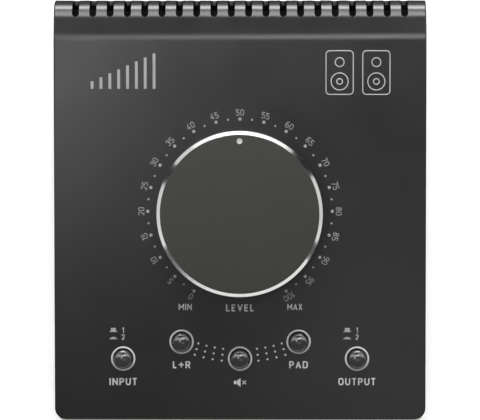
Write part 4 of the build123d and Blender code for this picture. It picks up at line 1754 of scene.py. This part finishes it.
@dataclass
class ReturnSprings:
    """Coil springs under the plungers' flanges."""

    shape: CaseShape
    recipes: Recipes
    buttons: dict[str, Point]
    seat: float = -14.7
    length: float = 4.4
    travel: float = 3.0
    turns: float = 4.0
    radius: float = 1.7
    wire: float = 0.15

    def build(self) -> None:
        """Wind a spring for each button."""
        sizes = {
            "Turns": self.turns,
            "Radius": self.radius,
            "Height": self.length - 2 * self.wire,
            "Wire": self.wire,
        }
        for name, (x, y) in self.buttons.items():
            foot = self.shape.on_panel(x, self.shape.dial_s + y, self.seat)
            host = Workshop.piece(f"{name}_spring", [(0, 0, 0)], [])
            spring = self.recipes.coil.run(host, sizes, Stock.SPRING)
            Workshop.shade(spring, 60.0)
            Workshop.place(spring, foot @ Matrix.Translation((0, 0, self.wire * MM)))
            Workshop.finish(
                spring, Stock.SPRING, "spring_steel", "case", (f"{name}_return_spring",)
            )
            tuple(self.shape.normal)
            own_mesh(spring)


# ---- Fasteners, sockets and feet ----
@dataclass
class Hardware:
    """Screws, socket nuts and washers, and the rubber feet."""

    shape: CaseShape
    recipes: Recipes
    feet: tuple[str, ...] = (
        "front_left_foot", "front_right_foot", "rear_left_foot", "rear_right_foot",
    )
    foot_radius: float = 6.0
    foot_height: float = 3.0
    foot_seat: float = 1.3
    head_radius: float = 2.75
    head_height: float = 1.2
    thread: float = 1.5
    key_flats: float = 2.2
    key_depth: float = 0.8
    nut_flats: float = 12.0
    nut_bore: float = 4.5
    nut_height: float = 2.2
    nut_slope: float = 28.0  # of the chamfer on each face, in degrees
    nut_lip: float = 0.35  # chamfer of the bore
    washer_radius: float = 5.9
    washer_height: float = 0.4

    @staticmethod
    def centre(node: str) -> Vector:
        """Return the middle of a CAD node, in millimetres."""
        low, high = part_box(node)
        return (low + high) / 2 / MM

    def screw(self, length: float) -> bpy.types.Object:
        """Turn a domed screw with a hexagon socket, its head below z = 0.

        Args:
            length: Length of its thread.

        Returns:
            The screw.
        """
        head, height = self.head_radius, self.head_height
        corners = [
            (0, length, 0),
            (self.thread, length, 0.2),
            (self.thread, 0, 0),
            (head, 0, 0.1),
            (head, -0.35, 0.25),
            (head * 0.72, -height + 0.12, 1.2),
            (0, -height, 0),
        ]
        screw = Workshop.lathe("screw", Workshop.rounded(corners), 48)
        outline, floor = Workshop.hexagon(self.key_flats), self.key_depth - height
        Workshop.combine(screw, Workshop.prism("socket", [outline], -height - 1, floor))
        return Workshop.shade(screw)

    def nut(self) -> bpy.types.Object:
        """Make a hexagon nut with both faces chamfered.

        Returns:
            The nut, standing on z = 0.
        """
        height, bore, lip = self.nut_height, self.nut_bore, self.nut_lip
        nut = Workshop.prism("nut", [Workshop.hexagon(self.nut_flats)], 0, height)
        reach, flat = self.nut_flats / math.sqrt(3) + 0.3, self.nut_flats / 2 - 0.1
        drop = (reach - flat) * math.tan(math.radians(self.nut_slope))
        cone = [(0, 0), (flat, 0), (reach, drop)]
        cone += [(reach, height - drop), (flat, height), (0, height)]
        Workshop.combine(nut, Workshop.lathe("cone", cone, 96), "INTERSECT")
        wide = bore + lip + 1
        drill = [(0, -1), (wide, -1), (bore, lip)]
        drill += [(bore, height - lip), (wide, height + 1), (0, height + 1)]
        Workshop.combine(nut, Workshop.lathe("bore", drill, 64))
        return Workshop.shade(nut, 20.0)

    def washer(self) -> bpy.types.Object:
        """Make a thin washer with softened edges.

        Returns:
            The washer, standing on z = 0.
        """
        inner, outer = self.nut_bore + 0.1, self.washer_radius
        height, soft = self.washer_height, 0.1
        ring = [
            (inner, 0), (outer - soft, 0), (outer, soft), (outer, height - soft),
            (outer - soft, height), (inner, height),
        ]
        return Workshop.shade(Workshop.lathe("washer", ring, 64), 20.0)

    def foot(self) -> bpy.types.Object:
        """Mould a foot with a rounded edge and a pocket for its screw.

        Returns:
            The foot, standing on z = 0.
        """
        pocket, hole = self.head_radius + 0.3, self.thread + 0.1
        floor = self.foot_height - self.foot_seat
        line = Workshop.rounded(
            [
                (hole, floor, 0),
                (pocket, floor, 0.15),
                (pocket, 0, 0.2),
                (self.foot_radius - 0.6, 0, 0.3),
                (self.foot_radius, 0.6, 0.3),
                (self.foot_radius, self.foot_height, 0),
                (hole, self.foot_height, 0),
            ]
        )
        return Workshop.shade(Workshop.lathe("foot", line, 64))

    def group(
        self,
        name: str,
        template: bpy.types.Object,
        places: list[tuple[float, float, float]],
        tip: float,
        stock: Stock,
        slot: str,
        nodes: tuple[str, ...],
    ) -> None:
        """Put copies of one piece in place on the case.

        Args:
            name: Name of the whole group.
            template: The piece, which this uses up.
            places: Where the copies stand.
            tip: How far each is turned about the x axis, in degrees.
            stock: Their finish.
            slot: The record's material slot.
            nodes: The CAD nodes that they replace.
        """
        group = self.recipes.spread(name, template, places, tip, stock)
        Workshop.place(group, Matrix.Identity(4))
        Workshop.finish(group, stock, slot, nodes=nodes)

    def build(self, sockets: list[Point], tabs: list[float], lugs: list[Point]) -> None:
        """Make every group.

        Args:
            sockets: Each socket's place across and its height.
            tabs: Place across of each rear screw.
            lugs: Place of each screw in the base.
        """
        spots = [self.centre(foot) for foot in self.feet]
        ground = [(p.x, p.y, 0) for p in spots]
        self.group(
            "rubber_feet", self.foot(), ground, 0, Stock.RUBBER, "foot_rubber", self.feet
        )
        seat = self.foot_height - self.foot_seat
        under_feet = [(p.x, p.y, seat) for p in spots]
        under_base = [(*p, self.shape.bottom) for p in lugs]
        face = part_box("rear_panel")[1].y / MM
        rear_height = self.centre("rear_panel_screws").z
        behind = [(x, face, rear_height) for x in tabs]
        for name, node, length, places, tip in (
            ("foot_fixings", "foot_screws", 4.8, under_feet, 0),
            ("base_fixings", "base_screws", 5.0, under_base, 0),
            ("rear_fixings", "rear_panel_screws", 5.0, behind, 90),
        ):
            screw = self.screw(length)
            self.group(name, screw, places, tip, Stock.BLACK_STEEL, "black_steel", (node,))
        for name, node, template, y in (
            ("socket_washers", "jack_washers", self.washer(), face),
            ("socket_nuts", "jack_nuts", self.nut(), face + self.washer_height),
        ):
            places = [(x, y, z) for x, z in sockets]
            self.group(name, template, places, -90, Stock.NICKEL, "nickel_plate", (node,))


class CarriedOver:
    """The CAD nodes that keep their own mesh, dressed in their real finishes."""

    BY_SLOT = {
        "plate_paint": Stock.PLATE_PAINT,
        "black_steel": Stock.BLACK_STEEL,
        "zinc_steel": Stock.ZINC,
        "circuit_board": Stock.BOARD,
        "brass": Stock.BRASS,
        "resistor_coat": Stock.LACQUER,
        "pot_can": Stock.TINNED_CAN,
        "plunger_plastic": Stock.ACETAL,
        "switch_plastic": Stock.NYLON,
        "spring_steel": Stock.SPRING,
        "socket_plastic": Stock.NYLON,
        "cable_film": Stock.FILM,
        "nickel_plate": Stock.NICKEL,
    }

    @classmethod
    def dress(cls, frame: dict) -> None:
        """Give every shown CAD node its finish.
        """
        slots = {
            part["node"]: part["material_slot"] for part in frame["record"]["subparts"]
        }
        for name, node in frame["nodes"].items():
            if node.hide_render:
                continue
            stock = cls.BY_SLOT[slots[name]]
            node.data.materials.clear()
            node.data.materials.append(stock.material)
            LOG.info("%s: %s", name, stock.value.name)


# ---- Studio ----
@dataclass(frozen=True)
class Softbox:
    """A rectangular lamp, aimed at a point."""

    name: str
    place: tuple[float, float, float]
    size: Point
    level: float  # brightness seen in a mirror, where a white sheet is 1
    turn: float = 0.0  # degrees about its own axis
    aim: tuple[float, float, float] = (0.0, 0.0, 0.045)

    def build(self) -> None:
        """Hang the lamp."""
        lamp = bpy.data.lights.new(self.name, "AREA")
        lamp.shape = "RECTANGLE"
        lamp.size, lamp.size_y = self.size
        lamp.energy = self.level * math.pi * self.size[0] * self.size[1]
        made = add_object(self.name, lamp)
        made.location = self.place
        spin = Matrix.Rotation(math.radians(self.turn), 3, "Z")
        back = (Vector(self.place) - Vector(self.aim)).normalized()
        made.rotation_euler = (self.facing(back) @ spin).to_euler()
        made.visible_camera = False

    @staticmethod
    def facing(back: Vector) -> Matrix:
        """Return the turn of a lamp or camera whose back points along back, kept upright."""
        across = (RIGHT - back * RIGHT.dot(back)).normalized()
        return Matrix((across, back.cross(across), back)).transposed()

    @classmethod
    def behind(cls, name: str, low: float, high: float, width: float, level: float) -> "Softbox":
        """Return a softbox that stands behind the controller.

        Args:
            name: Name of the lamp.
            low: Elevation of its lower edge in degrees, seen from the controller.
            high: Elevation of its upper edge.
            width: Width in metres.
            level: Its brightness.

        Returns:
            The softbox.
        """
        reach, middle = 0.9, math.radians((low + high) / 2)
        place = (0.0, 0.05 + reach * math.cos(middle), 0.045 + reach * math.sin(middle))
        height = 2 * reach * math.tan(math.radians((high - low) / 2))
        return cls(name, place, (width, height), level)


@dataclass
class Studio:
    """Floor, sky, lamps and camera."""

    shape: CaseShape
    distance: float = 0.9
    elevation: float = 81.3
    turn: float = 2.9
    lens: float = 213.0
    aim_s: float = 0.42
    floor_size: float = 8.0
    paper: float = 0.9  # how pale the floor is
    floor_glow: float = 0.38  # what lifts the lit floor to white
    sky_span: Point = (0.3, 0.53)  # heights in the sky where it darkens, as sines
    ceiling: float = 0.12
    card_reach: float = 250.0
    card_height: float = 150.0
    overhead: float = 1045.0

    def floor(self) -> None:
        """Lay a pale floor, which is white where nothing shades it."""
        half = self.floor_size / 2 / MM
        corners = [(x, y, 0) for x, y in Workshop.rectangle(-half, -half, half, half)]
        floor = Workshop.piece("floor", corners, [[0, 1, 2, 3]])
        Workshop.place(floor, Matrix.Identity(4))
        made = bpy.data.materials.new("studio_floor")
        tree = bare_tree(made)
        rays = add_node(tree, "ShaderNodeLightPath").outputs
        seen = rays["Is Camera Ray"]
        for kind in ("Is Glossy Ray", "Is Transmission Ray"):
            fill = {0: seen, 1: rays[kind]}
            seen = add_node(tree, "ShaderNodeMath", fill, operation="MAXIMUM")
        fill = {0: seen, 1: self.floor_glow}
        lift = add_node(tree, "ShaderNodeMath", fill, operation="MULTIPLY")
        fill = {"Color": (self.paper, self.paper, self.paper, 1.0), "Roughness": 0.0}
        paper = add_node(tree, "ShaderNodeBsdfDiffuse", fill)
        fill = {"Color": (1, 1, 1, 1), "Strength": lift}
        glow = add_node(tree, "ShaderNodeEmission", fill)
        both = add_node(tree, "ShaderNodeAddShader", {0: paper, 1: glow})
        add_node(tree, "ShaderNodeOutputMaterial", {0: both})
        floor.data.materials.append(made)
        floor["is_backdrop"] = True

    def sky(self) -> None:
        """Surround the scene with white near the horizon and a darker ceiling."""
        world = bpy.data.worlds.new("studio_surround")
        bpy.context.scene.world = world
        tree = bare_tree(world)
        way = add_node(tree, "ShaderNodeTexCoord").outputs["Generated"]
        height = add_node(tree, "ShaderNodeSeparateXYZ", {0: way}).outputs["Z"]
        low, high = self.sky_span
        fill = {0: height, 1: low, 2: high, 3: 1.0, 4: self.ceiling}
        level = add_node(tree, "ShaderNodeMapRange", fill, interpolation_type="SMOOTHSTEP")
        fill = {"Color": (1, 1, 1, 1), "Strength": level}
        glow = add_node(tree, "ShaderNodeBackground", fill)
        add_node(tree, "ShaderNodeOutputWorld", {0: glow})

    def lamps(self) -> None:
        """Hang the softboxes: three behind for the roll, three overhead for the panel."""
        high = self.overhead * MM
        for box in (
            Softbox.behind("rear_low", 9.4, 17.5, 0.7, 12.0),
            Softbox.behind("rear_middle", 17.5, 48.1, 0.7, 6.6),
            Softbox.behind("rear_high", 48.1, 62.7, 0.7, 8.6),
            Softbox("overhead_left", (-0.157, -0.091, high), (0.075, 0.325), 8.2, turn=-8.0),
            Softbox("overhead_right", (0.112, 0.055, high), (0.375, 0.131), 8.2, turn=20.0),
            Softbox("front", (0.102, -0.381, high), (0.205, 0.161), 1.1),
        ):
            box.build()

    @staticmethod
    def glow(level: float) -> bpy.types.Material:
        """Return the material of an evenly lit white card.

        Args:
            level: Its radiance.

        Returns:
            The new material.
        """
        white = bpy.data.materials.new(f"studio_card_{level}")
        tree = bare_tree(white)
        light = add_node(tree, "ShaderNodeEmission", {"Strength": level})
        add_node(tree, "ShaderNodeOutputMaterial", {0: light})
        return white

    def card(self, name: str, corners: list[Vector], paint: bpy.types.Material) -> None:
        """Put up a card, which only reflections show.

        Args:
            name: Name of the card.
            corners: Its corners in turn.
            paint: Its material.
        """
        card = Workshop.piece(name, corners, [[0, 1, 2, 3]])
        Workshop.place(card, Matrix.Identity(4))
        card.data.materials.append(paint)
        card.visible_camera = card.visible_diffuse = False
        card.visible_shadow = name == "reflector"
        card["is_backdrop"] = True

    def cards(self) -> None:
        """Place the cards that the knob's edge, the caps and the rear roll reflect."""
        centre = self.shape.on_panel(0, self.shape.dial_s).translation / MM
        centre.z = 0.0
        up = Vector((0, 0, self.card_height))
        black = Stock.RUBBER.material
        for count, span in enumerate(((43, 66), (113, 126), (205, 244), (288, 304))):
            ends = [Vector((math.sin(t), math.cos(t), 0)) for t in map(math.radians, span)]
            first, last = (centre + end * self.card_reach for end in ends)
            self.card(f"card_{count}", [first, last, last + up, first + up], black)
        ground = [Vector((x, y, 1)) for x, y in Workshop.rectangle(-400, 75, 400, 900)]
        self.card("rear_floor", ground, black)
        for name, level, y, half, low, high in (
            ("reflector", 1.7, 126, 100, 76, 100),
            ("horizon_low", 9.0, 950, 350, 69, 194),
            ("horizon_high", 15.0, 950, 350, 329, 586),
        ):
            upright = Workshop.rectangle(-half, low, half, high)
            self.card(name, [Vector((x, y, z)) for x, z in upright], self.glow(level))
        for name, level, corners in (
            ("band_left", 3.0, [(-800, -180), (-80, -30), (-80, 130), (-800, 230)]),
            ("band_right", 3.0, [(300, -30), (850, -180), (850, 230), (300, 130)]),
            ("arc_left", 4.0, [(-360, 470), (-430, 880), (-1150, 450), (-800, 200)]),
            ("arc_right", 6.0, [(360, 470), (430, 880), (1150, 450), (800, 200)]),
        ):
            place = [Vector((x, y, self.overhead)) for x, y in corners]
            self.card(name, place, self.glow(level))

    def camera(self) -> None:
        """Look down on the panel from just in front of upright."""
        shape = self.shape
        aim = shape.start + shape.along * (shape.dial_s + self.aim_s)
        rise, turn = math.radians(self.elevation), math.radians(self.turn)
        level = math.cos(rise)
        back = Vector((level * math.sin(turn), -level * math.cos(turn), math.sin(rise)))
        lens = bpy.data.cameras.new("camera")
        lens.lens = self.lens
        lens.sensor_width = 36.0
        lens.clip_start, lens.clip_end = 0.01, 20.0
        made = add_object("camera", lens)
        made.location = aim * MM + back * self.distance
        made.rotation_euler = Softbox.facing(back).to_euler()
        bpy.context.scene.camera = made

    def build(self) -> None:
        """Set the whole studio up."""
        self.floor()
        self.sky()
        self.lamps()
        self.cards()
        self.camera()
        bpy.context.scene.view_settings.view_transform = "Standard"


# ---- The whole controller ----
BUTTON_X = 37.16  # place across of the outer buttons
BUTTON_ROWS = {
    "source": (-1.0, -46.9),
    "mono": (-0.5, -41.5),
    "mute": (0.0, -46.9),
    "dim": (0.5, -41.5),
    "monitor": (1.0, -46.9),
}  # share of BUTTON_X, and place up the slope from the dial's centre
SOCKET_COLUMNS = (39.0, 13.0, -13.0, -39.0)
SOCKET_ROWS = (11.7, 27.5)  # heights of the lower and the upper row


def main() -> None:
    """Build the controller, part by part, and measure the bounds of the CAD frame and of the
    result.
    """
    logging.basicConfig(level=logging.INFO, format="%(message)s")
    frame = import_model()
    cad_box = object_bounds()
    shape = CaseShape(front_y=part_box("top_cover")[0].y / MM)
    recipes = Recipes()
    buttons = {name: (share * BUTTON_X, y) for name, (share, y) in BUTTON_ROWS.items()}
    cover = FormedCover(shape, recipes)
    holes = [(x, shape.dial_s + y, cover.cap_hole) for x, y in buttons.values()]
    cover.build([*holes, (0.0, shape.dial_s, cover.bushing_hole)])
    PanelPrint(shape, recipes, buttons).build()
    VolumeKnob(shape).build()
    PushButtons(shape, buttons).build()
    ReturnSprings(shape, recipes, buttons).build()
    hardware = Hardware(shape, recipes)
    sockets = [(x, z) for x in SOCKET_COLUMNS for z in SOCKET_ROWS]
    low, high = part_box("base_screws")
    margin = hardware.head_radius
    lug_x, front, rear = high.x / MM - margin, low.y / MM + margin, high.y / MM - margin
    lugs = [(x, y) for x in (-lug_x, lug_x) for y in (front, rear)]
    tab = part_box("rear_panel_screws")[1].x / MM - margin
    hardware.build(sockets, [-tab, 0.0, tab], lugs)
    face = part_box("rear_panel")[1].y / MM
    RearPrint(recipes, face, SOCKET_COLUMNS, SOCKET_ROWS).build()
    CarriedOver.dress(frame)
    Studio(shape).build()
    boxes = {"cad": cad_box, "visual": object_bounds()}
    sizes = {key: [list(corner) for corner in box] for key, box in boxes.items()}


if __name__ == "__main__":
    main()
